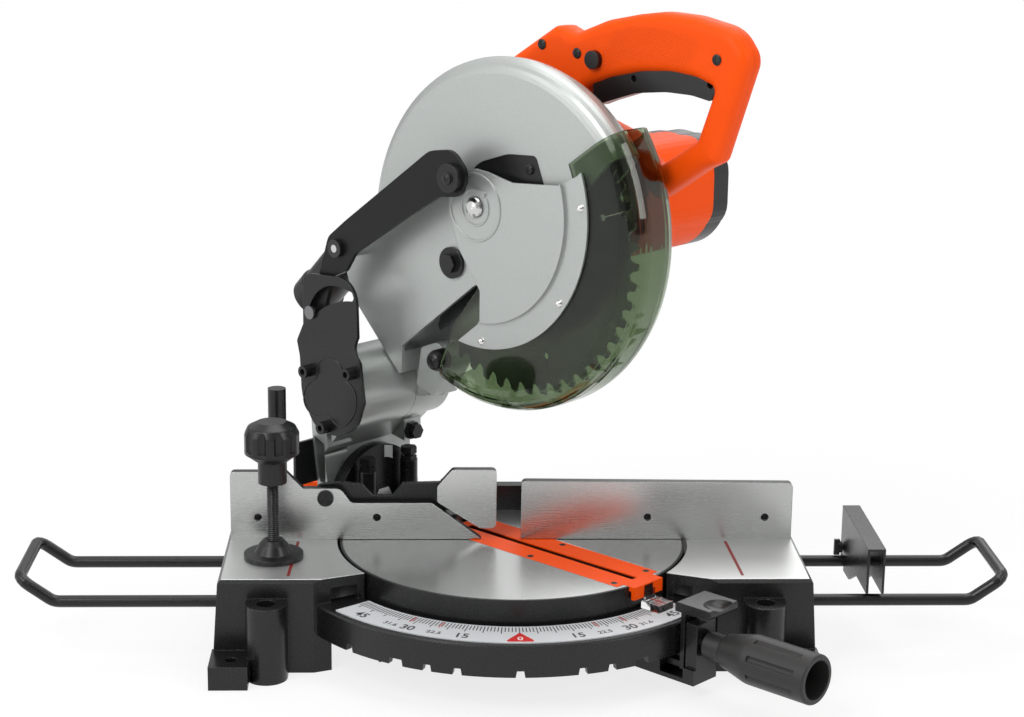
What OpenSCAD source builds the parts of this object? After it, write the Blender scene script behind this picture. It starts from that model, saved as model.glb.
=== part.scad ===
// Mitre saw with a turning table, a tilting arm and a chopping head.
// Millimetres, +Z up, bench at z = 0. The table turns about the Z axis and the fence face is y = 0.
// Head, arm and table are drawn in the side view of the saw: x is forward along the kerf,
// y is up from the table top and z is the distance to the left of the blade.

/* [Base and table] */
// Height of the table top above the bench
table_h = 81; // [78:0.5:86]
// Front edge of the wings, ahead of the fence face
wing_front = 98.5; // [96:0.5:101]
// Radius of the turntable
table_r = 148.5; // [140:0.5:160]
// Width of the base across the wings
base_w = 485; // [475:1:500]
// Outer radius of the front rim that carries the mitre scale
rim_r = 193; // [191:0.5:194]
// Mitre angle of the table as drawn, to the right
mitre_rest = 45; // [0:1:45]
// Width of the kerf board
kerf_board_w = 52; // [44:1:60]
// Width of the blade slot in the kerf board
kerf_slot_w = 7; // [6:0.5:9]
// Wall of the base casting
base_wall = 6; // [5:0.5:8]
// Radius of the bench bolt holes
bench_hole_r = 5; // [4:0.5:6]

/* [Fence and clamp] */
// Height of the right fence above the table
fence_h = 53; // [48:1:56]
// Extra height of the fence at the far left
fence_rise = 8; // [4:1:10]
// Thickness of the fence face
fence_t = 8; // [6:0.5:8]
// Radius of the vice post
post_r = 7.8; // [7:0.1:8]
// Height of the vice post above the table
post_h = 129; // [120:1:132]
// Radius of the vice knob
knob_r = 23; // [18:1:24]
// Radius of the holder wires
wire_r = 5; // [4:0.25:5.5]

/* [Head] */
// Radius of the saw blade
blade_r = 130; // [126:0.5:131]
// Thickness of the saw blade
blade_t = 2.4; // [2:0.1:3]
// Number of blade teeth
blade_teeth = 48; // [40:2:60]
// Depth of the blade case outside the blade
case_gap = 25; // [23:0.5:26]
// Radius of the hinge barrel
barrel_r = 37; // [36.5:0.5:37.5]
// Radius of the hinge shaft
shaft_r = 10; // [8:0.5:12]
// Radius of the motor housing
motor_r = 50; // [48:0.5:52]
// Thickness of the handle
handle_t = 34; // [30:1:36]
// Module of the reduction gears
gear_module = 1.5; // [1.4:0.05:1.6]

/* [Fits] */
// Radial clearance of a running fit
run_fit = 0.05; // [0.02:0.01:0.1]
// Gap between moving faces
gap = 0.5; // [0.4:0.1:1]

/* [Hidden] */
$fn = 64;

// Colours
black_cast = "#2c2d2f";
bare_alloy = "#c3c6c8";
silver_paint = "#a9adae";
orange = "#f2541b";
steel = "#8d8f92";
dark_steel = "#3a3a3c";
green_clear = "#3f5a3c";

// Base
half_w = base_w / 2;
edge = 3;
well_gap = 2.5;
well_r = table_r + well_gap;
wing_rear = 46;
wing_in = 108;
wing_flare = 8.5;
wing_top_t = 9;
wing_front_in = half_w - 79.5;
foot = [32, 40, 20];
foot_x = half_w + wing_flare - foot[0];
bench_x = half_w - 9;
bench_y = 122;
seat_z = table_h - 29;
bar_z = table_h - 47;
bar_t = 8;
rail_in = table_r - 12.5;
scale_t = 1;
rim_top = table_h - 20.2 - scale_t;
rim_low = table_h - 48;
rim_in = well_r + 2;
rim_wall = 6;
rim_half = 52;
arc_from = -34.4;
// Mitre detents: angle and extra half width, the wide notch serving both 30 and 31.6 degrees
detents = [[0, 0], [15, 0], [22.5, 0], [30.8, 2.7], [45, 0]];
socket_x = half_w - 37.5;
socket_y = wing_front + 13.5;
socket_r = 8;
socket_boss_r = 17;
socket_top = table_h - 16;
rod_z = table_h - 25;
rod_y = [14, -82];
rod_in = half_w - 38;
rod_corner = 10;
rod_tip = half_w + 167.5;
rod_bend = rod_tip - 28;
rod_lead = 14;
rod_rise = 20;
hub_r = 30;
pivot_r = 8;

// Fence
fence_left = table_h + fence_h + fence_rise;
fence_right = table_h + fence_h;
fence_foot_y = 38;
fence_foot_t = 9;
post_x = half_w - 39.5;
post_y = 24;
post_low = table_h - 17;
bolt_y = 28;
post_boss_r = 13;
post_boss_h = 22;
sub_pivot = [-half_w + 81.5, table_h + 37.5];
sub_arm_y = fence_t + gap;
sub_arm_t = 5;
bridge_y = 92;
bridge_x = 52;
bridge_t = 12;
fence_bolts = [(well_r + post_x - post_boss_r) / 2 - 5.5, post_x + 22];
facing_holes = [half_w - 125.5, half_w - 23.5];

// Clamp
vise_y = -44;
boss_low = table_h + 66;
boss_high = table_h + 85;
vise_boss_r = 12;
vise_screw_r = 5;
knob_h = 34;
pad_r = 25;

// Side view of the head: forward, up
arbor = [4, 263.4];
chop = [-153, 115];
guard_c = [-15, 294.5];
link_p = [-160, 241.5];
link_pin = [-188, 180.5];
link_end = [-21, 321];
chop_max = 43;
link_turn = 14;
case_r = blade_r + case_gap;
case_left = 24;
case_right = -14;
case_wall = 4;
case_round = 13;
case_round_right = 24;
guard_r = blade_r + 29;
shroud_c = guard_c + [10, -15];
guard_half = 29;
guard_wall = 3;
guard_round = 20;
plate_r = 120;
plate_w = guard_half;
link_w = 51;
link_t = 4;
bracket_w = 58;
bracket_t = 3;
barrel_left = 66;
boss_right = -42;
ear_t = 12;
pinion_teeth = 11;
gear_teeth = 53;
gear_dist = gear_module * (pinion_teeth + gear_teeth) / 2;
gear_dir = 40;
motor = arbor + gear_dist * [cos(gear_dir), sin(gear_dir)];
gear_w = [-50, -38];
gear_case_right = -62;
motor_end = -150;
cap_end = -178;
handle_w = -31;
spindle_r = 8;
flange_r = 22;

// Bevel joint and arm
bracket_u = -table_r - 17.5;
bracket_d = 12;
bracket_r = 50;
arm_u = bracket_u - bracket_d - 0.3;
arm_d = 14;
bevel_r = 8;
stop_w = 26;
stop_u = bracket_u + 12;
stop_top = 34;

// Kerf board tongue and screws
tongue_half = 18;
tongue_u = table_r + 4.5;
kerf_end = table_r - 7.5;
kerf_screw_x = kerf_board_w / 2 - 5.5;
kerf_screw_y = [15.5 - table_r, -40, 50];

// Front arm of the table
front_u = rim_r + 10;
front_t = 11;
front_half = 12;
front_low = -69;
front_floor = 4;
front_rib = [16, 21.5];
front_start = table_r - 68.5;
lever_pin_u = table_r - 30.5;
lever_v = -58;
grip_v = -36;
grip_r = 20.5;
grip_u = [front_u + 35, front_u + 120];

// Length stop
plate_x = half_w + 49;
stop_plate_w = 15;
stop_plate_t = 2;
stop_h = 48;
stop_y = [-92.5, 24];
stop_screw_z = 13;

// Hinge barrel
bracket_bolt_dirs = [154, 42, 256];
spring_turns = 5;
spring_r = 20;
spring_wire = 2.6;
spring_w = [8 + spring_wire + 0.3, barrel_left - 8 - spring_wire - 0.3];

// Case, gears, handle and guard
cover_p = [-50, 241];
bearing_r = 16;
stop_p = [-71, 151];
lock_p = arbor + polar(27, 137);
handle_mid = handle_w - handle_t / 2;
handle_screw_p = [[-7, 424], [32, 420], [179, 428]];
button_p = [53, 417];
trigger_p = [168, 407];
guard_from = -113;
guard_to = 35.5;
nozzle_r = 20;
nozzle_len = 110;

// Rounded outlines: each point is x, y and the radius of its corner
function corner_arc(a, b, c, r) =
  let (d1 = (a - b) / norm(a - b), d2 = (c - b) / norm(c - b))
  let (half = acos(max(-1, min(1, d1 * d2))) / 2)
  let (cut = min(r / tan(half), 0.49 * min(norm(a - b), norm(c - b))), rr = cut * tan(half))
  let (m = b + (d1 + d2) / norm(d1 + d2) * rr / sin(half))
  let (s = b + d1 * cut - m, e = b + d2 * cut - m)
  let (a0 = atan2(s[1], s[0]), turn = (atan2(e[1], e[0]) - a0 + 540) % 360 - 180)
  let (n = max(2, ceil(abs(turn) / 15)))
  [for (i = [0:n]) m + rr * [cos(a0 + turn * i / n), sin(a0 + turn * i / n)]];
function xy(p) = [p[0], p[1]];
function rounded(pts) = [for (i = [0:len(pts) - 1])
  let (n = len(pts), a = xy(pts[(i + n - 1) % n]), b = xy(pts[i]), c = xy(pts[(i + 1) % n]))
  each pts[i][2] > 0 ? corner_arc(a, b, c, pts[i][2]) : [b]];
function turn2(p, a) = [p[0] * cos(a) - p[1] * sin(a), p[0] * sin(a) + p[1] * cos(a)];
function polar(r, a) = r * [cos(a), sin(a)];

// A round wire along a path that never runs straight up
function path_dir(path, i) = let (d = path[min(len(path) - 1, i + 1)] - path[max(0, i - 1)]) d / norm(d);
module tube(path, r, sides) {
  n = len(path) - 1;
  step = 360 / sides;
  pts = [for (i = [0:n]) let (t = path_dir(path, i), c = cross([0, 0, 1], t))
    let (s = c / norm(c), u = cross(t, s))
    for (k = [0:sides - 1]) path[i] + r * (cos(step * k) * s + sin(step * k) * u)];
  walls = [for (i = [0:n - 1]) for (k = [0:sides - 1])
    let (a = i * sides + k, b = i * sides + (k + 1) % sides)
    each [[a, a + sides, b], [b, a + sides, b + sides]]];
  ends = [[for (k = [0:sides - 1]) k], [for (k = [sides - 1:-1:0]) n * sides + k]];
  polyhedron(pts, concat(walls, ends));
}

// Frames
module turned() rotate([0, 0, mitre_rest]) children();
module side() turned() translate([0, 0, table_h]) rotate([90, 0, -90]) children();
// Rear view: x to the left of the blade, y up from the table top, z backward
module rear_view() turned() translate([0, 0, table_h]) rotate([90, 0, 180]) children();
module slab(w0, w1) translate([0, 0, w0]) linear_extrude(w1 - w0) children();
module rod(p, r, w0, w1) translate([p[0], p[1], w0]) cylinder(r = r, h = w1 - w0);
module both_sides() {
  children();
  mirror([1, 0, 0]) children();
}
module upright(p, r, z0, z1) translate([p[0], p[1], z0]) cylinder(r = r, h = z1 - z0);
module block(x, y, z) translate([x[0], y[0], z[0]]) cube([x[1] - x[0], y[1] - y[0], z[1] - z[0]]);
module hex(r, h) cylinder(r = r, h = h, $fn = 6);
module ring(r0, r1, h) difference() {
  cylinder(r = r1, h = h);
  translate([0, 0, -1]) cylinder(r = r0, h = h + 2);
}

// Base
module wing_block(inset, top) {
  x1 = half_w + wing_flare - inset;
  x2 = half_w + edge - inset;
  y0 = -wing_front - edge + inset;
  y1 = wing_rear - inset;
  translate([0, y1, 0]) rotate([90, 0, 0]) linear_extrude(y1 - y0)
    polygon([[wing_in + inset, inset > 0 ? -1 : 0], [x1, inset > 0 ? -1 : 0], [x2, top - edge],
      [x2 - edge, top], [wing_in + inset, top]]);
}

module wing() {
  difference() {
    wing_block(0, table_h);
    wing_block(base_wall, table_h - wing_top_t);
    translate([0, -wing_front - edge, table_h]) rotate([45, 0, 0])
      translate([0, -edge, -edge * sqrt(2) / 2]) cube([base_w, edge * 2, edge * sqrt(2)]);
  }
  for (y = rod_y) translate([rod_in - 6, y, rod_z]) rotate([0, 90, 0])
    cylinder(r = wire_r + 5, h = half_w - rod_in + 4);
  upright([post_x, post_y], post_boss_r, rod_z + wire_r + 1, table_h - 3);
  for (x = fence_bolts) upright([x, bolt_y], 8, table_h - 30, table_h - 3);
  rotate([0, 0, arc_from]) rotate_extrude(angle = 16 - arc_from, $fn = 180)
    polygon([[rail_in - base_wall, bar_z + 1], [well_r + base_wall, bar_z + 1],
      [well_r + base_wall, table_h - 3], [rail_in - base_wall, table_h - 3]]);
  difference() {
    union() {
      upright([socket_x, -socket_y], socket_boss_r, 0, socket_top);
      block([socket_x - socket_boss_r, socket_x + socket_boss_r], [-socket_y, -wing_front],
        [0, socket_top]);
    }
    upright([socket_x, -socket_y], socket_r, socket_top - 45, socket_top + 1);
  }
  block([foot_x, foot_x + foot[0]], [-wing_front - foot[1], -wing_front], [0, foot[2]]);
  block([foot_x - 34, foot_x + foot[0]], [wing_rear - base_wall / 2, wing_front + foot[1]], [0, foot[2]]);
}

module wing_cuts() {
  for (y = [-bench_y, bench_y]) upright([bench_x, y], bench_hole_r, -1, foot[2] + 1);
  for (y = rod_y) translate([rod_in - 60, y, rod_z]) rotate([0, 90, 0])
    cylinder(r = wire_r + run_fit, h = 140);
  upright([post_x, post_y], post_r + run_fit, post_low - 1, table_h + 1);
  for (x = fence_bolts) upright([x, bolt_y], 4, table_h - 24, table_h + 1);
  linear_extrude(table_h * 3, center = true)
    polygon([[wing_in - 20, -wing_front - 20], [wing_front_in + 9, -wing_front - 20],
      [wing_front_in + 4, -wing_front - edge], [wing_in - 1, -wing_front + 22],
      [wing_in - 20, -wing_front + 22]]);
}

module front_rim() difference() {
  rotate([0, 0, -90 - rim_half - 8]) rotate_extrude(angle = 2 * rim_half + 16, $fn = 180)
    polygon([[rim_in, rim_top], [rim_r - 1.5, rim_top], [rim_r, rim_top - 1.5], [rim_r, rim_low],
      [rim_r - rim_wall, rim_low], [rim_r - rim_wall, rim_top - 6], [rim_in + 5, rim_top - 6],
      [rim_in + 5, rim_top - 18], [rim_in, rim_top - 18]]);
  for (d = detents) for (a = d[0] > 0 ? [-d[0], d[0]] : [0]) rotate([0, 0, a - 90])
    translate([rim_r - rim_wall - 1, 0, rim_low]) rotate([90, 0, 90]) linear_extrude(rim_wall + 2)
      polygon([[-4 - d[1], -1], [4 + d[1], -1], [2.8 + d[1], 5.5], [-2.8 - d[1], 5.5]]);
}

module base_casting() color(black_cast) {
  difference() {
    union() {
      both_sides() difference() {
        wing();
        wing_cuts();
      }
      difference() {
        union() {
          upright([0, 0], hub_r, rim_low - 8, seat_z);
          block([-wing_in - 3, wing_in + 3], [-30, wing_rear - 2], [bar_z, bar_z + bar_t]);
          for (y = [-30, wing_rear - 8])
            block([-wing_in - 3, wing_in + 3], [y, y + 6], [bar_z - 12, bar_z + 2]);
        }
        upright([0, 0], pivot_r, 0, table_h);
      }
    }
    upright([0, 0], well_r, seat_z, table_h + 1);
    difference() {
      upright([0, 0], rail_in, bar_z + bar_t, table_h + 1);
      upright([0, 0], hub_r + 1, 0, seat_z);
    }
  }
  front_rim();
}

module mitre_scale() color("white")
  rotate([0, 0, -90 - rim_half]) translate([0, 0, rim_top]) rotate_extrude(angle = 2 * rim_half,
      $fn = 180)
    polygon([[rim_in + 1, 0], [rim_r - 5, 0], [rim_r - 5, scale_t], [rim_in + 1, scale_t]]);

// Fence: two faces on feet, joined by a bridge that runs round behind the blade
module fence_face(pts) translate([0, fence_t, 0]) rotate([90, 0, 0]) linear_extrude(fence_t)
    polygon(rounded(pts));

module fence_back() {
  difference() {
    union() {
      block([well_r + 2, half_w], [0, fence_foot_y], [table_h, table_h + fence_foot_t]);
      upright([post_x, post_y], post_boss_r, table_h, table_h + post_boss_h);
      for (x = [post_x - 25, post_x - 55]) translate([x, fence_t, table_h]) rotate([90, 0, 90])
          linear_extrude(6)
        polygon([[-1, 0], [fence_foot_y - fence_t, 0], [fence_foot_y - fence_t, fence_foot_t], [-1, 21]]);
    }
    upright([post_x, post_y], post_r + run_fit, table_h - 1, table_h + fence_h);
    for (x = fence_bolts) upright([x, bolt_y], 4, table_h - 1, table_h + fence_foot_t + 1);
  }
  translate([bridge_x, fence_t - 1, table_h + gap]) linear_extrude(20)
    polygon([[-4, 0], [24, 0], [10, 42], [10, bridge_y - fence_t - 9],
      [-10, bridge_y - fence_t - 9], [-10, 42]]);
  translate([0, bridge_y - 10, table_h + gap]) cube([bridge_x, bridge_t, 22]);
}

module guide_fence() color(bare_alloy) difference() {
  union() {
    fence_face([[-half_w, table_h + gap, 0], [-27, table_h + gap, 0], [-69.5, table_h + 33, 3],
      [sub_pivot[0] + 22, table_h + 33, 6], [sub_pivot[0] + 13, table_h + 46, 8],
      [sub_pivot[0] - 19, table_h + 46, 3], [-half_w + 48, fence_left, 4], [-half_w, fence_left, 4]]);
    fence_face([[7.5, table_h + gap, 2], [half_w, table_h + gap, 0], [half_w, fence_right - 2, 4],
      [7.5, fence_right, 4]]);
    both_sides() fence_back();
    both_sides() block([half_w - 40, half_w], [0, fence_t], [table_h, table_h + 2]);
  }
  for (s = [-1, 1]) for (x = facing_holes)
    translate([s * x, -1, table_h + 20]) rotate([-90, 0, 0]) cylinder(r = 3.5, h = fence_t + 2);
  translate([sub_pivot[0], -1, sub_pivot[1]]) rotate([-90, 0, 0]) cylinder(r = 4, h = fence_t + 2);
}

module fence_screws() color(dark_steel) {
  for (s = [-1, 1]) for (x = fence_bolts) {
    upright([s * x, bolt_y], 4, table_h - 20, table_h + fence_foot_t);
    difference() {
      upright([s * x, bolt_y], 6.5, table_h + fence_foot_t, table_h + fence_foot_t + 7);
      translate([s * x, bolt_y, table_h + fence_foot_t + 3]) hex(3.4, 5);
    }
  }
  translate([sub_pivot[0], 0, sub_pivot[1]]) rotate([-90, 0, 0]) {
    translate([0, 0, -2]) cylinder(r = 7, h = 2);
    cylinder(r = 4, h = sub_arm_y + sub_arm_t + gap + 4);
    translate([0, 0, sub_arm_y + sub_arm_t + gap]) cylinder(r = 8, h = 4);
  }
}

module pivot_bolt() color(steel) {
  upright([0, 0], pivot_r, rim_low - 14, table_h - 12.5);
  translate([0, 0, rim_low - 18]) hex(14, 10);
  translate([0, 0, seat_z + 10.5]) hex(13, 6);
}

module sub_fence() color(bare_alloy) {
  px = sub_pivot[0];
  z = table_h;
  fence_face([[-65, z + 34, 3], [-27.5, z + 10, 4], [-14, z + 10, 4], [-14, z + 63, 4], [-52, z + 63, 4],
    [-65, z + 48, 4]]);
  translate([0, sub_arm_y + sub_arm_t, 0]) rotate([90, 0, 0]) linear_extrude(sub_arm_t) difference() {
    polygon(rounded([[px - 10, z + 28, 9], [px + 40, z + 24, 3], [-40, z + 24, 3], [-40, z + 56, 3],
      [-62, z + 49, 3], [px + 66, z + 48, 2], [px + 57, z + 37, 2], [px + 40, z + 37, 2],
      [px + 31, z + 47, 2], [px + 12, z + 49, 4], [px - 10, z + 47, 9]]));
    translate(sub_pivot) circle(r = 4 + run_fit);
  }
  block([-62, -40], [fence_t - 0.5, sub_arm_y + 1], [z + 36, z + 52]);
}

// Work holders: bent wire loops that slide in the wings
function wire_half() =
  let (slope = atan(rod_rise / (rod_tip - rod_bend)), start = rod_bend - rod_lead * tan(slope / 2))
  let (along = [cos(slope), 0, sin(slope)], n = 4)
  let (tip = [rod_tip, rod_y[0], rod_rise] - rod_corner * along)
  concat([[start - 4, rod_y[0], 0]],
    [for (i = [0:n]) let (a = slope * i / n)
      [start + rod_lead * sin(a), rod_y[0], rod_lead * (1 - cos(a))]],
    [for (i = [0:n]) let (a = 90 * i / n)
      tip + rod_corner * (sin(a) * along + (1 - cos(a)) * [0, -1, 0])]);

module holder() translate([0, 0, rod_z]) {
  near = wire_half();
  far = [for (i = [len(near) - 1:-1:0]) [near[i][0], rod_y[0] + rod_y[1] - near[i][1], near[i][2]]];
  tube(concat(near, far), wire_r - 0.02, 20);
  for (y = rod_y) translate([rod_in, y, 0]) rotate([0, 90, 0])
    cylinder(r = wire_r, h = rod_bend - 6 - rod_in);
}

module holder_right() color(black_cast) holder();
module holder_left() color(black_cast) mirror([1, 0, 0]) holder();

// Length stop: a folded plate that straddles both wires of the right holder
module stop_side() polygon([[stop_y[1], stop_h], [stop_y[0], stop_h], [stop_y[0], 9], [-48, 9], [-17, -6],
  [rod_y[0] - wire_r - gap, -7], [rod_y[0] - wire_r - gap, wire_r + gap],
  [rod_y[0] + wire_r + gap, wire_r + gap], [rod_y[0] + wire_r + gap, -7], [stop_y[1], -7]]);

module stop_plate() color(black_cast) translate([plate_x, 0, rod_z]) {
  for (x = [0, stop_plate_w - stop_plate_t]) translate([x, 0, 0]) rotate([90, 0, 90])
    linear_extrude(stop_plate_t) difference() {
      stop_side();
      if (x == 0) translate([rod_y[0], stop_screw_z]) circle(r = 3 + run_fit);
    }
  block([0, stop_plate_w], stop_y, [stop_h - stop_plate_t, stop_h]);
}

module stop_plate_screw() color(dark_steel) translate([plate_x, rod_y[0], rod_z + stop_screw_z])
  rotate([0, -90, 0]) {
    wing = stop_screw_z - wire_r - 1;
    translate([0, 0, -8]) cylinder(r = 3, h = 10);
    translate([0, 0, 1]) cylinder(r = 5, h = 3);
    translate([-wing, -1.5, 3]) cube([2 * wing, 3, 5]);
  }

// Clamp
module vise_post() color(dark_steel) upright([-post_x, post_y], post_r, post_low, table_h + post_h);

module vise_arm() color(black_cast) difference() {
  union() {
    upright([-post_x, post_y], 14, boss_low + 2, boss_high + 6);
    upright([-post_x, vise_y], vise_boss_r, boss_low, boss_high);
    block([-post_x - 9, -post_x + 9], [vise_y, post_y], [boss_low + 4, boss_high]);
  }
  upright([-post_x, post_y], post_r + run_fit, boss_low - 1, boss_high + 20);
  upright([-post_x, vise_y], vise_screw_r + run_fit, boss_low - 1, boss_high + 1);
}

module vise_screw() color(dark_steel) {
  upright([-post_x, vise_y], vise_screw_r, table_h + 12, boss_high + knob_h - 4);
  translate([-post_x, vise_y, table_h + 8]) sphere(r = 6, $fn = 48);
}

module vise_knob() color(black_cast) translate([-post_x, vise_y, boss_high]) difference() {
  rotate_extrude($fn = 64) polygon(rounded([[0, gap, 0], [14, gap, 0], [knob_r - 3, 5, 2], [knob_r, 7, 1],
    [knob_r, knob_h - 10, 3], [knob_r - 3, knob_h - 4, 3], [12, knob_h, 0], [0, knob_h, 0]]));
  translate([0, 0, -1]) cylinder(r = vise_screw_r, h = knob_h - 3);
  for (a = [0:36:324]) rotate([0, 0, a]) translate([knob_r + 1.8, 0, 10]) cylinder(r = 4.4, h = knob_h);
}

module vise_pad() color(black_cast) translate([-post_x, vise_y, table_h]) difference() {
  rotate_extrude($fn = 64) polygon([[0, gap], [pad_r, gap], [pad_r, 4], [16, 5], [12, 12], [8.5, 16],
      [0, 16]]);
  translate([0, 0, 8]) sphere(r = 6 + run_fit, $fn = 48);
  translate([0, 0, 8]) cylinder(r = vise_screw_r + 0.4, h = 30);
}

// Turntable
module table_plan() {
  difference() {
    union() {
      upright([0, 0], table_r, table_h - 8, table_h);
      difference() {
        upright([0, 0], table_r, seat_z, table_h - 4);
        upright([0, 0], table_r - 6.5, seat_z - 1, table_h - 5);
      }
      upright([0, 0], 27, seat_z, table_h - 4);
      for (a = [30, 90, 150, 210, 270, 330]) rotate([0, 0, a])
        block([20, table_r - 3], [-3, 3], [seat_z + 6, table_h - 4]);
      block([-50, 50], [table_r - 26, -bracket_u], [seat_z - 5, table_h - gap]);
      block([-front_rib[1], front_rib[1]], [-table_r + 2, -front_start],
        [table_h + front_low, table_h - 4]);
    }
    upright([0, 0], pivot_r + run_fit, 0, table_h);
    upright([0, 0], 18, seat_z + 10, table_h + 1);
    block([-kerf_board_w / 2 - gap, kerf_board_w / 2 + gap], [-kerf_end - gap, 64],
      [table_h - 4, table_h + 1]);
    block([-tongue_half - gap, tongue_half + gap], [-table_r - 5, 0], [table_h - 4, table_h + 1]);
    block([-front_rib[0], front_rib[0]], [7.5 - table_r, 70],
      [table_h + front_low + front_floor, table_h + 1]);
    block([-front_rib[0], front_rib[0]], [-table_r - 9, -front_start - 8],
      [table_h + front_low + front_floor, table_h - 22]);
  }
}

module front_beam() difference() {
  union() {
    block([-15, 15], [-front_u - front_t, -table_r + 4], [table_h + front_low, table_h + front_low + 13]);
    block([-front_half, front_half], [-front_u - front_t, -front_u], [table_h + front_low, table_h - 18]);
  }
  block([-9, 9], [-front_u + 0.5, -table_r + 10], [table_h + front_low + front_floor, table_h]);
  translate([0, -front_u - front_t - 1, table_h + grip_v]) rotate([-90, 0, 0]) cylinder(r = 5 + run_fit,
      h = front_t + 2);
  block([-front_half - 4, front_half + 4], [-front_u, -rim_r + rim_wall + 8],
      [table_h + front_low + front_floor, table_h]);
}

module bevel_bracket() difference() {
  union() {
    translate([0, 0, -bracket_u]) cylinder(r = bracket_r, h = bracket_d);
    for (s = [-1, 1]) translate([s * stop_w, -2, -stop_u]) rotate([-90, 0, 0])
      cylinder(r = 8, h = stop_top + 2);
    translate([-50, -34, -bracket_u - 1]) cube([100, 33, bracket_d + 1]);
  }
  translate([-80, -120, -bracket_u - 20]) cube([160, 86, 60]);
  translate([0, 0, -bracket_u - 1]) cylinder(r = bevel_r, h = bracket_d + 2);
  for (s = [-1, 1]) translate([s * stop_w, 0, -stop_u]) rotate([-90, 0, 0]) cylinder(r = 4,
      h = stop_top + 2);
}

module turntable() color(black_cast) {
  turned() {
    difference() {
      union() {
        table_plan();
        front_beam();
      }
      translate([0, -lever_pin_u, table_h + lever_v]) rotate([0, 90, 0])
        cylinder(r = 3, h = 60, center = true);
      for (s = [-1, 1]) for (y = kerf_screw_y) upright([s * kerf_screw_x, y], 2.5, table_h - 7, table_h);
    }
  }
  rear_view() bevel_bracket();
}

module kerf_board() color(orange) turned() difference() {
  union() {
    block([-kerf_board_w / 2, kerf_board_w / 2], [-kerf_end, 62], [table_h - 4, table_h]);
    block([-tongue_half, tongue_half], [-tongue_u, -kerf_end + 10], [table_h - 4, table_h]);
    block([-tongue_half, tongue_half], [-tongue_u, -table_r - 1], [table_h - 11, table_h]);
  }
  block([-kerf_slot_w / 2, kerf_slot_w / 2], [10.5 - table_r, 52], [table_h - 20, table_h + 1]);
  for (s = [-1, 1]) for (y = kerf_screw_y) upright([s * kerf_screw_x, y], 2.5, table_h - 20, table_h + 1);
}

module kerf_screws() color(dark_steel) turned() for (s = [-1, 1]) for (y = kerf_screw_y)
  upright([s * kerf_screw_x, y], 2.5, table_h - 7, table_h - 0.2);

module pointer() color("#d9dcdc") turned() {
  block([-9, 9], [-tongue_u - 19, -tongue_u], [rim_top + scale_t + 0.8, rim_top + scale_t + 7]);
  block([-6, 6], [-tongue_u - 2, -tongue_u], [rim_top + scale_t + 0.8, table_h - 5]);
}

module bevel_scale() color("white") rear_view() translate([0, 0, -bracket_u - 1]) difference() {
  intersection() {
    ring(38, bracket_r - 1, 1);
    translate([-bracket_r, 2, -1]) cube([bracket_r - 6, bracket_r, 3]);
  }
  translate([-stop_w, 0, 0]) cube([20, 200, 10], center = true);
}

module stop_bolts() color(dark_steel) rear_view() for (s = [-1, 1])
  translate([s * stop_w, 0, -stop_u]) rotate([-90, 0, 0]) {
    translate([0, 0, 6]) cylinder(r = 4, h = stop_top);
    translate([0, 0, stop_top]) hex(7.5, 4);
    translate([0, 0, stop_top + 6]) hex(7.5, 6);
  }

module bevel_bolt() color(steel) rear_view() {
  translate([0, 0, -bracket_u - 6]) hex(12, 6);
  translate([0, 0, -bracket_u]) cylinder(r = bevel_r, h = 54);
  translate([0, 0, -arm_u + arm_d + 18.5]) cylinder(r = 11, h = 3);
}

module lock_screw() color(steel) turned() translate([0, 0, table_h + grip_v]) rotate([90, 0, 0])
  translate([0, 0, rim_r + 0.4]) cylinder(r = 5, h = grip_u[0] + 12 - rim_r);

module lock_grip() color(black_cast) turned() translate([0, 0, table_h + grip_v]) rotate([90, 0, 0])
    difference() {
  union() {
    translate([0, 0, front_u + front_t + 4]) cylinder(r = 11.5, h = grip_u[0] - front_u - front_t);
    rotate_extrude($fn = 96) polygon(rounded([[0, grip_u[0] - 4, 0], [13.5, grip_u[0] - 4, 3],
      [grip_r, grip_u[0] + 24, 20], [grip_r, grip_u[1], 2], [0, grip_u[1], 0]]));
  }
  translate([0, 0, rim_r]) cylinder(r = 5, h = grip_u[0] + 12.4 - rim_r);
  translate([0, 0, grip_u[1] - 45]) cylinder(r = grip_r - 4.5, h = 46);
  for (a = [22.5:45:360]) rotate([0, 0, a]) translate([grip_r + 1.2, 0, grip_u[0] + 30])
    cylinder(r = 3, h = grip_u[1] - grip_u[0] - 40);
}

module detent_lever() color(black_cast) side() {
  u0 = rim_r + 2.5;
  u1 = u0 + 4;
  slab(-7, 7) polygon([[lever_pin_u - 6, lever_v - 4], [u1, lever_v - 2], [u1, lever_v + 3],
    [lever_pin_u - 6, lever_v + 3]]);
  difference() {
    slab(-10, 10) polygon([[u0, lever_v - 2], [u1, lever_v - 2], [u1, -2], [u0, -2]]);
    translate([u0 - 1, grip_v - 8, -6.2]) cube([6, 21, 12.4]);
  }
  translate([rim_r - rim_wall - 1, lever_v, -2.2]) cube([u0 + 1.5 - rim_r + rim_wall, 13.5, 4.4]);
  rod([lever_pin_u, lever_v], 3 - run_fit, -front_rib[1] + 1, front_rib[1] - 1);
  difference() {
    slab(-18, 18) polygon(rounded([[u0, -8, 0], [u0 + 35.5, -8, 3], [u0 + 35.5, 0, 2], [u0, 0, 2]]));
    translate([u0 + 30.5, 14, 0]) sphere(r = 19, $fn = 64);
  }
}

module bevel_lever() color(orange) rear_view() {
  b = -arm_u + arm_d + 1;
  difference() {
    union() {
      translate([0, 0, b]) cylinder(r = 15, h = 17);
      rotate([90, 0, 0]) slab(-7, 7) polygon(rounded([[9, b + 2, 0], [14, b + 1, 2], [35, b + 52, 4],
        [30, b + 61, 4], [21, b + 61, 4], [12.5, b + 16, 2]]));
    }
    translate([0, 0, b - 1]) cylinder(r = bevel_r + run_fit, h = 19);
  }
}

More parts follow.
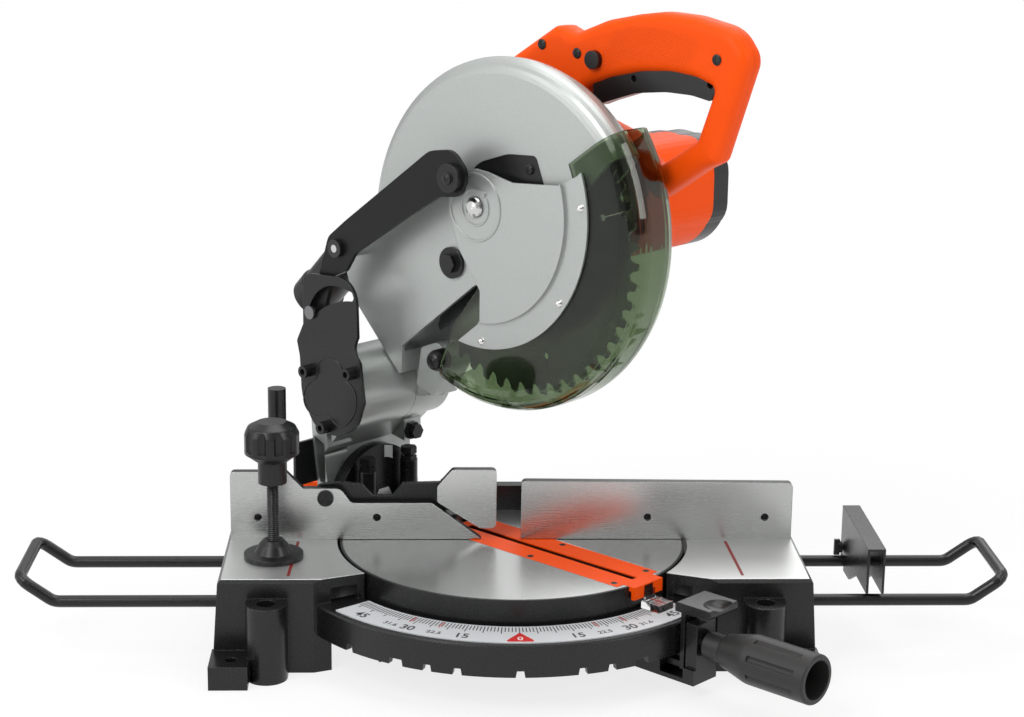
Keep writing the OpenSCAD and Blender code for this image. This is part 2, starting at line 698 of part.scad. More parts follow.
// Arm: tilts on the bevel bolt and carries the hinge barrel
module arm_side() polygon([[arm_u - arm_d, -34], [arm_u, -34], [arm_u, bracket_r + 2], [-142, 90],
    [chop[0], chop[1]],
  [chop[0] - barrel_r + 1, chop[1]], [arm_u - arm_d, 60]]);
module arm_rear() polygon(rounded([[-46, -34, 6], [46, -34, 6], [52, 20, 20], [barrel_left - 6, 84, 10],
  [barrel_left - 6, 125, 0], [boss_right - ear_t - gap, 125, 0], [boss_right - ear_t - gap, 84, 10],
      [-50, 20, 20]]));

module arm() color(silver_paint) difference() {
  union() {
    intersection() {
      side() slab(-80, 80) arm_side();
      rear_view() translate([0, 0, 100]) linear_extrude(120) arm_rear();
    }
    side() {
      rod(chop, barrel_r, 2, barrel_left);
      rod(chop, barrel_r - 8, boss_right - ear_t, boss_right - gap);
      slab(-49, -28)
        polygon([[arm_u, bracket_r + 2], [stop_u - 8, stop_top + 15], [stop_u - 8, 68], [-166, 72]]);
    }
  }
  side() {
    rod(chop, shaft_r, boss_right - ear_t - 1, barrel_left + 1);
    rod(chop, 30, 8, barrel_left - 8);
    rod(chop, barrel_r + gap, boss_right - gap / 2, 2);
    for (a = bracket_bolt_dirs) rod(chop + polar(33.5, a), 3, barrel_left - 12, barrel_left + 1);
    slab(28, 90) polygon([[arm_u - arm_d + 4, 22], [arm_u - 3, 22], [arm_u + 1, 60],
      [arm_u - arm_d + 3, 66]]);
    slab(28, 90) polygon([[arm_u + 6, 50], [arm_u + 12, 62], [arm_u + 12, 74], [arm_u + 6, 74]]);
  }
  rear_view() translate([0, 0, -arm_u - 1]) cylinder(r = bevel_r + run_fit, h = arm_d + 4);
}

module chop_shaft() color(steel) side() {
  rod(chop, shaft_r, boss_right - ear_t - 4, barrel_left - 1);
  rod(chop, shaft_r + 4, boss_right - ear_t - 7, boss_right - ear_t);
}

// Return spring: a torsion coil round the hinge shaft, as one tube swept along a helix
function helix(r, z0, z1, turns, n) = [for (i = [0:turns * n])
  [r * cos(360 * i / n), r * sin(360 * i / n), z0 + (z1 - z0) * i / (turns * n)]];
module return_spring() color(steel) side() translate([chop[0], chop[1], 0])
  tube(helix(spring_r, spring_w[0], spring_w[1], spring_turns, 24), spring_wire, 6);

// Slotted bracket on the barrel, and the link that lifts the guard as the head comes down
function pin_at(t) = let (d = -chop_max * t, k = -link_turn * t)
  chop + turn2(link_p - chop + turn2(link_pin - link_p, k), d);
slot_path = [for (i = [0:8]) pin_at(i / 8)];
function slot_side(s, rise) = [for (i = [0:8]) let (a = slot_path[max(0, i - 1)], b = slot_path[min(8,
    i + 1)],
  n = turn2((b - a) / norm(b - a), 90)) slot_path[i] + s * n * (4.6 + rise * sin(180 * i / 8))];
module pin_slot() {
  polygon(concat(slot_side(1, 7), [for (i = [8:-1:0]) slot_side(-1, 0)[i]]));
  for (t = [0, 1]) translate(pin_at(t)) circle(r = 4.6);
}

module bracket_outline() polygon(rounded([[-193, 215, 26], [-131, 219, 22], [-129, 160, 8],
  [-118, 148, 8], [chop[0] + barrel_r + 1, chop[1] + 10, 6], [chop[0] + barrel_r + 3, chop[1] - 2, 6],
  [chop[0] + barrel_r - 6, chop[1] - 26, 20], [chop[0] + 8, chop[1] - barrel_r - 2, 26],
  [chop[0] - 22, chop[1] - barrel_r - 1, 24], [chop[0] - barrel_r - 3, chop[1] - 10, 30],
  [chop[0] - barrel_r - 5, chop[1] + 26, 10], [-199, 156, 10], [-199, 205, 16]]));
module bracket_section() {
  x = bracket_w;
  y = barrel_left;
  bend = chop[1] + barrel_r + 1;
  polygon([[x, 240], [x, bend + 14], [y, bend], [y, 60], [y + bracket_t, 60], [y + bracket_t, bend + 1],
    [x + bracket_t, bend + 15], [x + bracket_t, 240]]);
}

module link_bracket() color(black_cast) difference() {
  intersection() {
    side() slab(50, 80) bracket_outline();
    rear_view() translate([0, 0, 80]) linear_extrude(160) bracket_section();
  }
  side() {
    slab(50, 80) pin_slot();
    for (a = bracket_bolt_dirs) rod(chop + polar(33.5, a), 3.2, 50, 80);
  }
}

module arm_bolts() color(dark_steel) side() {
  for (a = bracket_bolt_dirs) difference() {
    union() {
      rod(chop + polar(33.5, a), 3, barrel_left - 11, barrel_left + bracket_t);
      rod(chop + polar(33.5, a), 5.5, barrel_left + bracket_t, barrel_left + bracket_t + 8);
    }
    translate([chop[0] + 33.5 * cos(a), chop[1] + 33.5 * sin(a), barrel_left + bracket_t + 4]) hex(3, 5);
  }
  translate([stop_u - 8, stop_top + 24, -36]) rotate([0, 90, 0]) {
    hex(8.5, 5);
    translate([0, 0, 5]) hex(7, 5);
  }
}

module arm_cover() color(black_cast) rear_view() translate([40, 22, -arm_u + arm_d]) cube([38, 40, 3]);

// Head
module tail_outer() polygon(rounded([[-120, 300, 0], [-150, 262, 8], [-172, 246, 10], [-183, 216, 12],
  [-174, 191, 4], [-113, 129, 2], [-112, 151, 6], [20, 246, 0], [60, 300, 0]]));
module tail_inner() polygon([[-110, 300], [-146, 258], [-166, 242], [-177, 216], [-169, 193], [-118, 141],
  [-110, 156], [20, 250], [60, 300]]);
module case_below() polygon([[-112, 120], [-112, 157], [-26, 224], [0, 238], [30, 248], [48, 268],
  [120, 346], [180, 385], [260, 300], [200, 0], [-112, 0]]);

// Half section of the case, rounded at both rims
module case_revolve(inset) {
  r = case_r - inset;
  w = [case_right + inset, case_left - inset];
  right = case_round_right - inset;
  left = case_round - inset;
  translate([arbor[0], arbor[1], 0]) rotate_extrude($fn = 128) polygon(concat([[0, w[0]]],
    [for (a = [-90:15:0]) [r - right + right * cos(a), w[0] + right + right * sin(a)]],
    [for (a = [0:15:90]) [r - left + left * cos(a), w[1] - left + left * sin(a)]], [[0, w[1]]]));
}

module window() polygon(rounded([[-30, 322, 3], [-18, 331, 20], [12, 341, 30], [43, 343, 5],
  [55, 314, 4], [30, 309, 20]]));

module blade_case() color(silver_paint) side() {
  difference() {
    union() {
      case_revolve(0);
      slab(case_right, case_left) tail_outer();
    }
    case_revolve(case_wall);
    slab(case_right + case_wall, case_left - case_wall) tail_inner();
    slab(-60, 60) case_below();
    rod(arbor, 32, -60, 0);
    slab(case_left - 2, case_left + 1) window();
    slab(-60, 0) polygon([[-150, 140], [-100, 90], [-60, 150], [-60, 232], [-150, 232]]);
    rod(guard_c, 6, case_left - 10, case_left + 1);
    rod(link_p, 5, case_left - 10, case_left + 1);
    rod(cover_p, 5, case_left - 10, case_left + 1);
  }
  for (p = [[guard_c, 6, 14], [link_p, 5, 10]]) difference() {
    rod(p[0], p[2], case_left - case_wall, p[1] == 5 ? link_w - gap : plate_w - gap - 1);
    rod(p[0], p[1], 0, 60);
  }
}

module case_liner() color(black_cast) side() {
  slab(case_left - 2, case_left - 0.8) window();
  rod([36, 331], 4, case_left - 0.8, case_left + 1);
}

module cover_bolt() color(black_cast) side() {
  rod(cover_p, 5, case_left - 8, case_left);
  rod(cover_p, 13.5, case_left, case_left + 3);
  translate([cover_p[0], cover_p[1], case_left + 3]) hex(8.5, 5);
}

module gear_housing() color(silver_paint) side() {
  right = case_right - gap;
  difference() {
    union() {
      rod(chop, barrel_r, boss_right, 1.5);
      slab(boss_right, right) polygon(rounded([[-186, 132, 0], [-150, 178, 20], [-70, 262, 30],
        [0, 300, 0], [20, 230, 0], [-40, 205, 30], [-108, 138, 30], [-120, 100, 0]]));
      rod(arbor, 54, gear_case_right, right);
      rod(motor, 40, gear_case_right, right);
      slab(gear_case_right, handle_w - 1) polygon([[-36, handle_seat(-36)], [58, handle_seat(58)],
        [66, 300], [-30, 280]]);
      slab(-16, -gap) polygon(rounded([[-140, 140, 0], [-116, 106, 0], [-84, 114, 4], [-62, 150, 8],
        [-80, 164, 8], [-112, 150, 0]]));
      slab(-1, 12) polygon(rounded([[-106, 120, 4], [-84, 114, 4], [-62, 150, 8], [-80, 164, 8],
        [-100, 156, 4]]));
      rod(arbor, 26, right - 1, -10);
    }
    rod(chop, shaft_r + run_fit, boss_right - 1, 20);
    rod(arbor, spindle_r + gap, gear_case_right - 1, 30);
    rod(arbor, 44, gear_w[0] - 4, gear_w[1] + 4);
    rod(motor, 13, gear_w[0] - 4, gear_w[1] + 4);
    rod(motor, 6, gear_case_right - 1, gear_w[0]);
    rod(arbor, bearing_r, -24, -9);
    rod(arbor, bearing_r, gear_case_right - 1, gear_w[0] - 5);
    rod(motor, 13, gear_case_right - 1, gear_case_right + 6);
    rod(stop_p, 4, -20, 30);
    rod(lock_p, 4 + run_fit, gear_case_right - 1, gear_w[0]);
  }
}

module bearings() color(steel) side() {
  for (w = [[-23, -12], [gear_case_right, gear_w[0] - 5.5]]) translate([arbor[0], arbor[1], w[0]])
    ring(spindle_r + run_fit, bearing_r, w[1] - w[0]);
  translate([motor[0], motor[1], gear_case_right + 0.5]) ring(5 + run_fit, 13, 5.5);
  translate([motor[0], motor[1], cap_end + 6]) ring(5 + run_fit, 11, 8);
}

module spindle() color(steel) side() {
  rod(arbor, spindle_r, gear_case_right + 1, blade_t / 2 + 8);
}
module blade_flanges() color(steel) side() difference() {
  union() {
    rod(arbor, flange_r, -8, -blade_t / 2);
    rod(arbor, flange_r, blade_t / 2, 8);
  }
  rod(arbor, spindle_r, -20, 20);
}
module arbor_bolt() color(dark_steel) side() {
  rod(arbor, flange_r - 8, blade_t / 2 + 8, blade_t / 2 + 10);
  translate([arbor[0], arbor[1], blade_t / 2 + 10]) hex(9, 6);
}

// Saw blade: hooked teeth over round gullets, with four expansion slots
function blade_tooth(i) = let (p = 360 / blade_teeth, a = i * p)
  [polar(blade_r, a), polar(blade_r - 2, a - 0.3 * p), polar(blade_r - 7, a - 0.42 * p),
   polar(blade_r - 10, a - 0.62 * p), polar(blade_r - 9, a - 0.85 * p), polar(blade_r - 5, a - 0.93 * p)];
module blade() color(steel) side() slab(-blade_t / 2, blade_t / 2) translate(arbor) difference() {
  polygon([for (i = [blade_teeth - 1:-1:0]) each blade_tooth(i)]);
  circle(r = spindle_r);
  for (a = [20:90:290]) rotate(a) {
    translate([blade_r - 32, 0]) circle(r = 3);
    translate([blade_r - 32, -0.5]) square([26, 1]);
  }
}

// Involute spur gears
function inv(a) = tan(a) * 180 / PI - a;
function gear_flank(rb, r) = r <= rb ? 0 : inv(acos(rb / r));
function gear_tooth(z, slack) =
  let (rp = gear_module * z / 2, rb = rp * cos(20), half = 90 / z - slack + inv(20))
  let (ra = rp + 0.85 * gear_module, rf = rp - 1.2 * gear_module, low = max(rb, rf))
  let (radii = [for (k = [0:3]) low + (ra - low) * k / 3])
  concat([polar(rf, -half)], [for (r = radii) polar(r, -half + gear_flank(rb, r))],
    [for (k = [3:-1:0]) polar(radii[k], half - gear_flank(rb, radii[k]))], [polar(rf, half)]);
module spur(z, slack) polygon([for (i = [0:z - 1])
  each [for (p = gear_tooth(z, slack)) turn2(p, i * 360 / z)]]);

module drive_gear() color(steel) side() slab(gear_w[0] + 0.5, gear_w[1]) translate(arbor) difference() {
  rotate(gear_dir) spur(gear_teeth, 0.2);
  circle(r = spindle_r);
  for (a = [0:90:270]) translate(turn2(lock_p - arbor, a)) circle(r = 4.5);
}

module armature() color("#b87333") side() {
  slab(gear_w[0] + 0.5, gear_w[1]) translate(motor) rotate(gear_dir + 180 + 180 / pinion_teeth)
      spur(pinion_teeth, 0.9);
  rod(motor, 5, cap_end + 5, gear_w[0] + 1);
  rod(motor, 24, -140, -92);
  rod(motor, 15, -160, -148);
  difference() {
    rod(motor, 37, -82, -70);
    for (a = [0:30:330]) translate([motor[0], motor[1], -80]) rotate(a) translate([16, 1.2, 0])
        cube([22, 14, 14]);
  }
}

module field_core() color("#6d6f72") side() difference() {
  rod(motor, motor_r - 6, -142, -90);
  rod(motor, 25.5, -150, -80);
}

module motor_outline(inset) polygon(rounded([for (p = [[-1, -0.86], [0.25, -0.98], [1, -0.4], [1, 0.55],
    [0.6, 1],
  [-1, 0.9]]) [motor[0] + p[0] * (motor_r - inset), motor[1] + p[1] * (motor_r - inset), 24 - inset]]));
module motor_housing() color(orange) side() difference() {
  union() {
    slab(motor_end, gear_case_right) motor_outline(0);
    rod(motor, motor_r, motor_end, gear_case_right);
  }
  rod(motor, motor_r - 6, motor_end - 1, gear_case_right - 4);
  rod(motor, 13.5, motor_end - 1, gear_case_right + 1);
  rod(arbor, bearing_r, gear_case_right - 1, gear_case_right + 1);
  rod(lock_p, 9, motor_end - 1, gear_case_right + 1);
}
module motor_cap() color(black_cast) side() difference() {
  union() {
    slab(cap_end + 8, motor_end) motor_outline(0);
    slab(cap_end, cap_end + 8) motor_outline(7);
    rod(motor, motor_r, cap_end + 8, motor_end);
  }
  rod(motor, 30, cap_end + 15, motor_end + 1);
  rod(motor, 11, cap_end + 5, motor_end);
  for (a = [0:45:315]) translate([motor[0], motor[1], cap_end - 1]) rotate(a) translate([26, -3, 0])
      cube([10, 6, 12]);
}

// Closed handle: a pair of shells with a finger gap under the trigger
module handle_outline() difference() {
  polygon(rounded([[-44, 356, 6], [-46, 409, 8], [4, 440, 8], [14, 441, 8], [27, 436, 10], [60, 449, 40],
    [92, 456, 60], [118, 460, 80], [150, 459, 60], [190, 452, 30], [207, 430, 18], [178, 346, 8],
    [162, 338, 6],
    [118, 308, 8], [92, 326, 6], [70, 348, 10]]));
  handle_gap();
}
module handle_gap() polygon(rounded([[44, 372, 10], [40, 392, 6], [66, 402, 30], [98, 410, 60],
  [128, 413, 60], [154, 411, 40], [173, 405, 5], [157, 362, 8], [116, 335, 8], [84, 360, 12]]));
module handle_core() polygon(rounded([[60, 407, 6], [100, 417, 40], [156, 419, 40], [176, 412, 4],
  [188, 424, 8], [176, 446, 14], [124, 453, 40], [60, 440, 20], [39, 428, 4], [43, 404, 6]]));

// One shell: nested layers step in towards the outer face to round its edge
module handle_half(inner, outer) {
  s = sign(outer - inner);
  rad = 9;
  difference() {
    for (a = [0, 30, 55, 75]) layer(inner, outer - s * rad * (1 - sin(a)))
        offset(delta = -rad * (1 - cos(a)))
      handle_outline();
    layer(inner - s, inner + s * 10) handle_core();
    layer(inner - s, inner + s * 9) trigger_bay();
    for (p = handle_screw_p) rod(p, 2.5, outer - 40, outer + 40);
  }
}
module layer(w0, w1) slab(min(w0, w1), max(w0, w1)) children();
module trigger_bay() polygon([[40, 389], [66, 399], [100, 407], [128, 410], [154, 408], [163, 386],
    [180, 386],
  [180, 420], [100, 424], [40, 408]]);
function handle_seat(u) = 356 - 8 * (u + 44) / 114;

module handle_left() color(orange) side() difference() {
  handle_half(handle_mid, handle_w);
  rod(button_p, 7.5 + run_fit, handle_mid - 1, handle_w + 1);
}
module handle_right() color(orange) side() {
  handle_half(handle_mid, handle_w - handle_t);
  rod(trigger_p, 3, handle_mid - 12, handle_mid + 8.5);
}

module handle_screws() color(dark_steel) side() for (p = handle_screw_p) {
  rod(p, 2.5, handle_mid - 14, handle_w - 3);
}
module switch_body() color(black_cast) side() slab(handle_mid - 9, handle_mid + 9)
  polygon([[84, 425], [140, 427], [140, 446], [84, 441]]);

module trigger() color(black_cast) side() slab(handle_mid - 8, handle_mid + 8) difference() {
  polygon(rounded([[47, 377, 3], [62, 383, 30], [92, 393, 60], [124, 397, 60], [150, 397, 40],
    [169, 394, 3], [174, 404, 3], [174, 414, 4], [154, 419, 40], [128, 422, 60], [100, 419, 40],
    [70, 410, 6], [62, 403.5, 6],
    [47, 397, 3]]));
  translate([90, 404.5]) circle(r = 2.8);
  translate(trigger_p) circle(r = 3 + run_fit);
}

module lock_off_button() color(black_cast) side() {
  rod(button_p, 7.5, handle_mid + 6, handle_w + 1);
}

module dust_nozzle() color(black_cast) side() translate([0, 0, 1]) {
  difference() {
    translate([-172, 251, 0]) rotate([0, 0, 225]) rotate([0, 90, 0]) difference() {
      union() {
        cylinder(r = nozzle_r, h = nozzle_len);
        translate([0, 0, nozzle_len - 16]) cylinder(r = nozzle_r + 2, h = 16);
      }
      translate([0, 0, 34]) cylinder(r = nozzle_r - 3.5, h = nozzle_len);
    }
    slab(-40, 40) polygon([[-110, 320], [-150.2, 262.4], [-172.3, 246.2], [-183.4, 216], [-174.3, 190.8],
      [-140, 156], [-100, 250]]);
  }
}

module guard_stop() color(black_cast) side() difference() {
  union() {
    rod(stop_p, 9.5, 12, 30);
    rod(stop_p, 4, -6, 12);
  }
  rod(stop_p, 3, 27, 31);
}

module pivot_screws() color(steel) side() {
  rod(guard_c, 6, case_left - 9, plate_w + 6.4);
  translate([guard_c[0], guard_c[1], plate_w + 6.4]) rotate_extrude()
    polygon([[0, 0], [9, 0], [8.2, 1.6], [5.4, 3], [0, 3.6]]);
  rod(link_p, 5, case_left - 9, link_w + link_t + gap);
  rod(link_p, 8, link_w + link_t + gap, link_w + link_t + gap + 4);
}

module shaft_lock() color(black_cast) side() {
  rod(lock_p, 4, gear_case_right - 6, gear_w[0] - 0.5);
  rod(lock_p, 8, gear_case_right - 14, gear_case_right - 6);
}

// Lower guard: a clear channel round the blade, on a plate that turns about its own pivot
function guard_profile(r, half, round_r, left, low) = concat([[left, half]],
  [for (a = [90:-15:0]) [r - round_r + round_r * cos(a), half - round_r + round_r * sin(a)]],
  [for (a = [0:-15:-90]) [r - round_r + round_r * cos(a), -half + round_r + round_r * sin(a)]],
  [[low, -half]]);

module guard_shroud() color(green_clear) side() difference() {
  translate([shroud_c[0], shroud_c[1], 0]) rotate([0, 0, guard_from])
    rotate_extrude(angle = guard_to - guard_from, $fn = 144) difference() {
      polygon(guard_profile(guard_r, guard_half, guard_round, 50, 70));
      polygon(guard_profile(guard_r - guard_wall, guard_half - guard_wall, guard_round - guard_wall,
        49, 69));
    }
  rod(guard_c, plate_r - 12, -guard_half - 1, guard_half - guard_wall - 1);
  difference() {
    rod(guard_c, plate_r - 12, guard_half - guard_wall - 2, guard_half + 1);
    slab(0, guard_half + 5) polygon([[-15, 226], [-90, 130], [-40, 100], [8, 100], [8, 226]]);
  }
}

module guard_plate() color(silver_paint) side() translate([guard_c[0], guard_c[1], plate_w])
    difference() {
  union() {
    difference() {
      union() {
        ring(0.1, plate_r, 2);
        ring(0.1, plate_r - 22, 5);
      }
      translate([0, 0, -1]) cylinder(r = plate_r - 24, h = 4);
      linear_extrude(60, center = true) polygon([[13, 31], [41, 25.5], [90, 29.5], [108, 39], [124, 52.5],
        [240, 120], polar(260, 100), polar(260, 170), polar(260, 225), [-22, -118], [6, -96], [6, -70],
        [-20, -36], [-31, 0], [-20, 26], [0, 32]]);
    }
    cylinder(r = 31, h = 5);
    ring(27.4, 29, 5.9);
    ring(14.4, 16, 5.9);
    rotate([0, 0, 52]) translate([15.2, 0, 0]) cylinder(r = 2.6, h = 6.6);
    for (a = [7, -36, -87]) rotate([0, 0, a]) translate([plate_r - 6, 0, 0]) rotate_extrude($fn = 32)
      polygon([[0, 1], [3.2, 1], [3.2, 2.8], [2.4, 4.4], [0, 5.2]]);
  }
  translate([0, 0, -2]) cylinder(r = 6 + run_fit, h = 20);
}

module link_lever() color(black_cast) side() {
  difference() {
    slab(link_w, link_w + link_t) polygon(rounded([[-197, 176, 6], [-181, 171, 6], [-168, 214, 6],
      [-150, 222, 10], [-138, 240, 14], [-76, 279, 20], [-36, 303, 8], [-12, 306, 10], [-4, 326, 14],
      [-22, 344, 16], [-48, 340, 20], [-150, 267, 16], [-172, 250, 14], [-184, 214, 10]]));
    rod(link_p, 5 + run_fit, 0, 90);
  }
  rod(link_pin, 4, link_w + link_t, bracket_w + bracket_t + 0.5);
  rod(link_pin, 6, bracket_w + bracket_t + 0.5, bracket_w + bracket_t + 3);
}

module link_roller() color(black_cast) side() {
  rod(link_end, 12, link_w + link_t, link_w + link_t + 6);
  rod(link_end, 5, link_w + link_t + 6, link_w + link_t + 8);
}

base_casting();
mitre_scale();
guide_fence();
fence_screws();
pivot_bolt();
vise_post();
sub_fence();
holder_left();
holder_right();
stop_plate();
stop_plate_screw();
vise_arm();
vise_pad();
vise_screw();
vise_knob();
turntable();
kerf_board();
kerf_screws();
pointer();
bevel_scale();
stop_bolts();
bevel_bolt();
lock_grip();
lock_screw();
detent_lever();
bevel_lever();
arm();
chop_shaft();
return_spring();
link_bracket();
arm_bolts();
arm_cover();
blade_case();
gear_housing();
motor_housing();
motor_cap();
handle_left();
handle_right();
switch_body();
handle_screws();
dust_nozzle();
case_liner();
cover_bolt();
guard_stop();
field_core();
bearings();
pivot_screws();
trigger();
lock_off_button();
shaft_lock();
blade();
blade_flanges();
arbor_bolt();
spindle();
drive_gear();
armature();
guard_shroud();
guard_plate();
link_lever();
link_roller();
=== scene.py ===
"""Looks of the mitre saw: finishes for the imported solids, and the fine pieces that go on them."""
import math

import bpy
import numpy as np
from mathutils import Matrix, Vector
from mathutils.geometry import delaunay_2d_cdt


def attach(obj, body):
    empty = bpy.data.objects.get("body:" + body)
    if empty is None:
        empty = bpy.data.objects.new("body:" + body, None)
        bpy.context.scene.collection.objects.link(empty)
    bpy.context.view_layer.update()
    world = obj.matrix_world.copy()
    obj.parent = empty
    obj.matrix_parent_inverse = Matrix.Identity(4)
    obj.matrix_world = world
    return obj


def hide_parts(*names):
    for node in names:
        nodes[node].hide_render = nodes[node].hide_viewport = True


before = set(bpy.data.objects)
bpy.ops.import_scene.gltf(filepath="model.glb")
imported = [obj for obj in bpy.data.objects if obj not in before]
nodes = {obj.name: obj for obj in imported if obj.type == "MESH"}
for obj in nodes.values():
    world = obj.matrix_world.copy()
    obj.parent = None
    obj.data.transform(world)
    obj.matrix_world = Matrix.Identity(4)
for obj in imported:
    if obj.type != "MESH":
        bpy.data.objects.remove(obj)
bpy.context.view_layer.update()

MM = 0.001
TABLE_H = 81.0
TURN = math.radians(45.0)
FORWARD = np.array([math.sin(TURN), -math.cos(TURN), 0.0])
LEFT = np.array([-math.cos(TURN), -math.sin(TURN), 0.0])
UP = np.array([0.0, 0.0, 1.0])
BACK = np.array([0.0, 1.0, 0.0])


# Places

# Pivots and axes in the side view: u forward of the turntable's axis, v up from the table top
ARBOR = (4.0, 263.4)
GUARD_PIVOT = (-15.0, 294.5)
LINK_PIVOT = (-160.0, 241.5)
CHOP_AXIS = (-153.0, 115.0)
GUARD_STOP = (-71.0, 151.0)


def side(u, v, w):
    """Point of the saw's side view in metres: u forward and w left of the blade, v up from the table top."""
    u, v, w = np.broadcast_arrays(*[np.asarray(c, float) for c in (u, v, w)])
    return (u[..., None] * FORWARD + w[..., None] * LEFT + (v[..., None] + TABLE_H) * UP) * MM


def plan(x, y, z):
    """Point of the base in metres: x right, y back from the fence face, z up from the bench."""
    x, y, z = np.broadcast_arrays(*[np.asarray(c, float) for c in (x, y, z)])
    return np.stack([x, y, z], -1) * MM


# Shader maths

class Sock:
    """A shader socket with arithmetic: an expression on values adds its Math nodes."""

    def __init__(self, socket):
        self.socket = socket

    def node(self, kind, settings=None, out=0, **inputs):
        """Adds a node of this tree: its settings first, then the values or links of its sockets."""
        made = self.socket.id_data.nodes.new(kind)
        for key, value in (settings or {}).items():
            setattr(made, key, value)
        for key, value in inputs.items():
            place = made.inputs[int(key[1:]) if key[0] == "_" else key.replace("_", " ")]
            if isinstance(value, Sock):
                self.socket.id_data.links.new(value.socket, place)
            else:
                place.default_value = value
        return Sock(made.outputs[out])

    def _maths(self, operation, a, b):
        return self.node("ShaderNodeMath", {"operation": operation}, _0=a, _1=b)

    def __add__(self, other):
        return self._maths("ADD", self, other)

    def __sub__(self, other):
        return self._maths("SUBTRACT", self, other)

    def __rsub__(self, other):
        return self._maths("SUBTRACT", other, self)

    def __mul__(self, other):
        return self._maths("MULTIPLY", self, other)

    def __pow__(self, other):
        return self._maths("POWER", self, other)

    __radd__ = __add__
    __rmul__ = __mul__

    def wave(self):
        return self._maths("SINE", self, 0.0)

    def size(self):
        return self._maths("ABSOLUTE", self, 0.0)

    def least(self, other):
        return self._maths("MINIMUM", self, other)

    def most(self, other):
        return self._maths("MAXIMUM", self, other)

    def rise(self, low, high):
        """0 below low, 1 above high, and a smooth step between them."""
        return self.node("ShaderNodeMapRange", {"interpolation_type": "SMOOTHSTEP"},
                         Value=self, From_Min=low, From_Max=high)

    def mix(self, a, b):
        """Colour a where this mask is 0 and colour b where it is 1."""
        return self.node("ShaderNodeMix", {"data_type": "RGBA"}, out=2, _0=self, _6=a, _7=b)


class Finish:
    """A material on one Principled shader, with the place on the surface at hand."""

    def __init__(self, name, colour, rough, metal=0.0, **fixed):
        self.made = bpy.data.materials.new(name)
        self.made.use_nodes = True
        tree = self.made.node_tree
        self.shader = tree.nodes["Principled BSDF"]
        self.set(Base_Color=(*colour, 1.0), Roughness=rough, Metallic=metal, **fixed)
        start = tree.nodes.new("ShaderNodeTexCoord")
        self.place = Sock(start.outputs["Object"])
        xyz = self.place.node("ShaderNodeSeparateXYZ", Vector=self.place).socket.node
        self.x, self.y, self.z = [Sock(o) * (1.0 / MM) for o in xyz.outputs]
        self.u = (self.x - self.y) * math.sqrt(0.5)
        self.w = (self.x + self.y) * -math.sqrt(0.5)
        self.v = self.z - TABLE_H

    def set(self, **inputs):
        for key, value in inputs.items():
            place = self.shader.inputs[key.replace("_", " ")]
            if isinstance(value, Sock):
                self.made.node_tree.links.new(value.socket, place)
            else:
                place.default_value = value
        return self

    def noise(self, per_mm, detail=3.0, rough=0.5, stretch=(1.0, 1.0, 1.0)):
        """Soft noise from 0 to 1, with this many lumps a millimetre, stretched along an axis."""
        vector = self.place.node("ShaderNodeMapping", Vector=self.place, Scale=stretch)
        return self.place.node("ShaderNodeTexNoise", Vector=vector, Scale=per_mm / MM, Detail=detail,
                               Roughness=rough)

    def cells(self, per_mm):
        """Distance to the nearest of many scattered points, for flakes and pits."""
        return self.place.node("ShaderNodeTexVoronoi", Vector=self.place, Scale=per_mm / MM)

    def bump(self, height, depth_mm, strength=1.0, **rest):
        """Fine relief of the surface, on the rounded normal where one is given."""
        normal = self.place.node("ShaderNodeBump", Height=height, Distance=depth_mm * MM,
                                 Strength=strength, **rest)
        return self.set(Normal=normal)

    def edges(self, radius_mm=1.0):
        """The normal of edges rounded by a radius, and a mask that rises where it leans off the true one."""
        soft = self.place.node("ShaderNodeBevel", {"samples": 4}, Radius=radius_mm * MM)
        true = self.place.node("ShaderNodeNewGeometry", out="Normal")
        cosine = self.place.node("ShaderNodeVectorMath", {"operation": "DOT_PRODUCT"}, out=1,
                                 _0=soft, _1=true)
        return soft, (1.0 - cosine).rise(0.02, 0.25)


def shade(mask, a, b):
    """Mixes two linear colours by a mask."""
    return mask.mix((*a, 1.0), (*b, 1.0))


BLACK = (0.0085, 0.0085, 0.0092)
# Grey laid along the edges of black parts as a painted highlight.
EDGE_GLINT = (0.045, 0.045, 0.047, 1.0)


def cast_black(name, colour=BLACK, rough=0.27, grain=1.1, depth=0.05, edged=True):
    """Satin black over a cast or moulded skin: fine pimples, a slow change of gloss, and edges lightened to
    grey as a painted highlight.
    """
    f = Finish(name, colour, rough, Specular_IOR_Level=0.36)
    pimples = f.noise(grain, 2.0)
    cloud = f.noise(0.02, 2.0)
    skin = shade(cloud, [c * 0.82 for c in colour], [c * 1.25 for c in colour])
    f.set(Roughness=rough - 0.07 + 0.1 * cloud + 0.05 * pimples)
    if not edged:
        return f.set(Base_Color=skin).bump(pimples, depth, 0.6)
    soft, glinted = f.edges()
    return f.set(Base_Color=glinted.mix(skin, EDGE_GLINT)).bump(pimples, depth, 0.6, Normal=soft)


def silver_paint(name, bright=None):
    """Grey metallic paint: small flakes that vary the shade, under a thin clear coat; bright masks
    bare rivets."""
    f = Finish(name, (0.42, 0.44, 0.43), 0.36, 0.55, Coat_Weight=0.25, Coat_Roughness=0.18)
    flakes = f.cells(2.2)
    cloud = f.noise(0.012, 2.0)
    colour = shade(flakes, (0.345, 0.365, 0.355), (0.47, 0.495, 0.48))
    rough = 0.3 + 0.1 * cloud + 0.06 * flakes
    if bright:
        rivets = bright(f)
        colour = rivets.mix(colour, (0.75, 0.75, 0.74, 1.0))
        rough = rough * (1.0 - 0.6 * rivets)
        f.set(Metallic=0.55 + 0.45 * rivets)
    f.set(Base_Color=colour, Roughness=rough)
    return f.bump(f.noise(0.9, 2.0), 0.02, 0.5, Normal=f.edges()[0])


def round_mask(f, u, v, radius):
    """1 inside a circle of the side view."""
    du, dv = f.u - u, f.v - v
    return 1.0 - ((du * du + dv * dv) ** 0.5).rise(radius - 0.2, radius + 0.2)


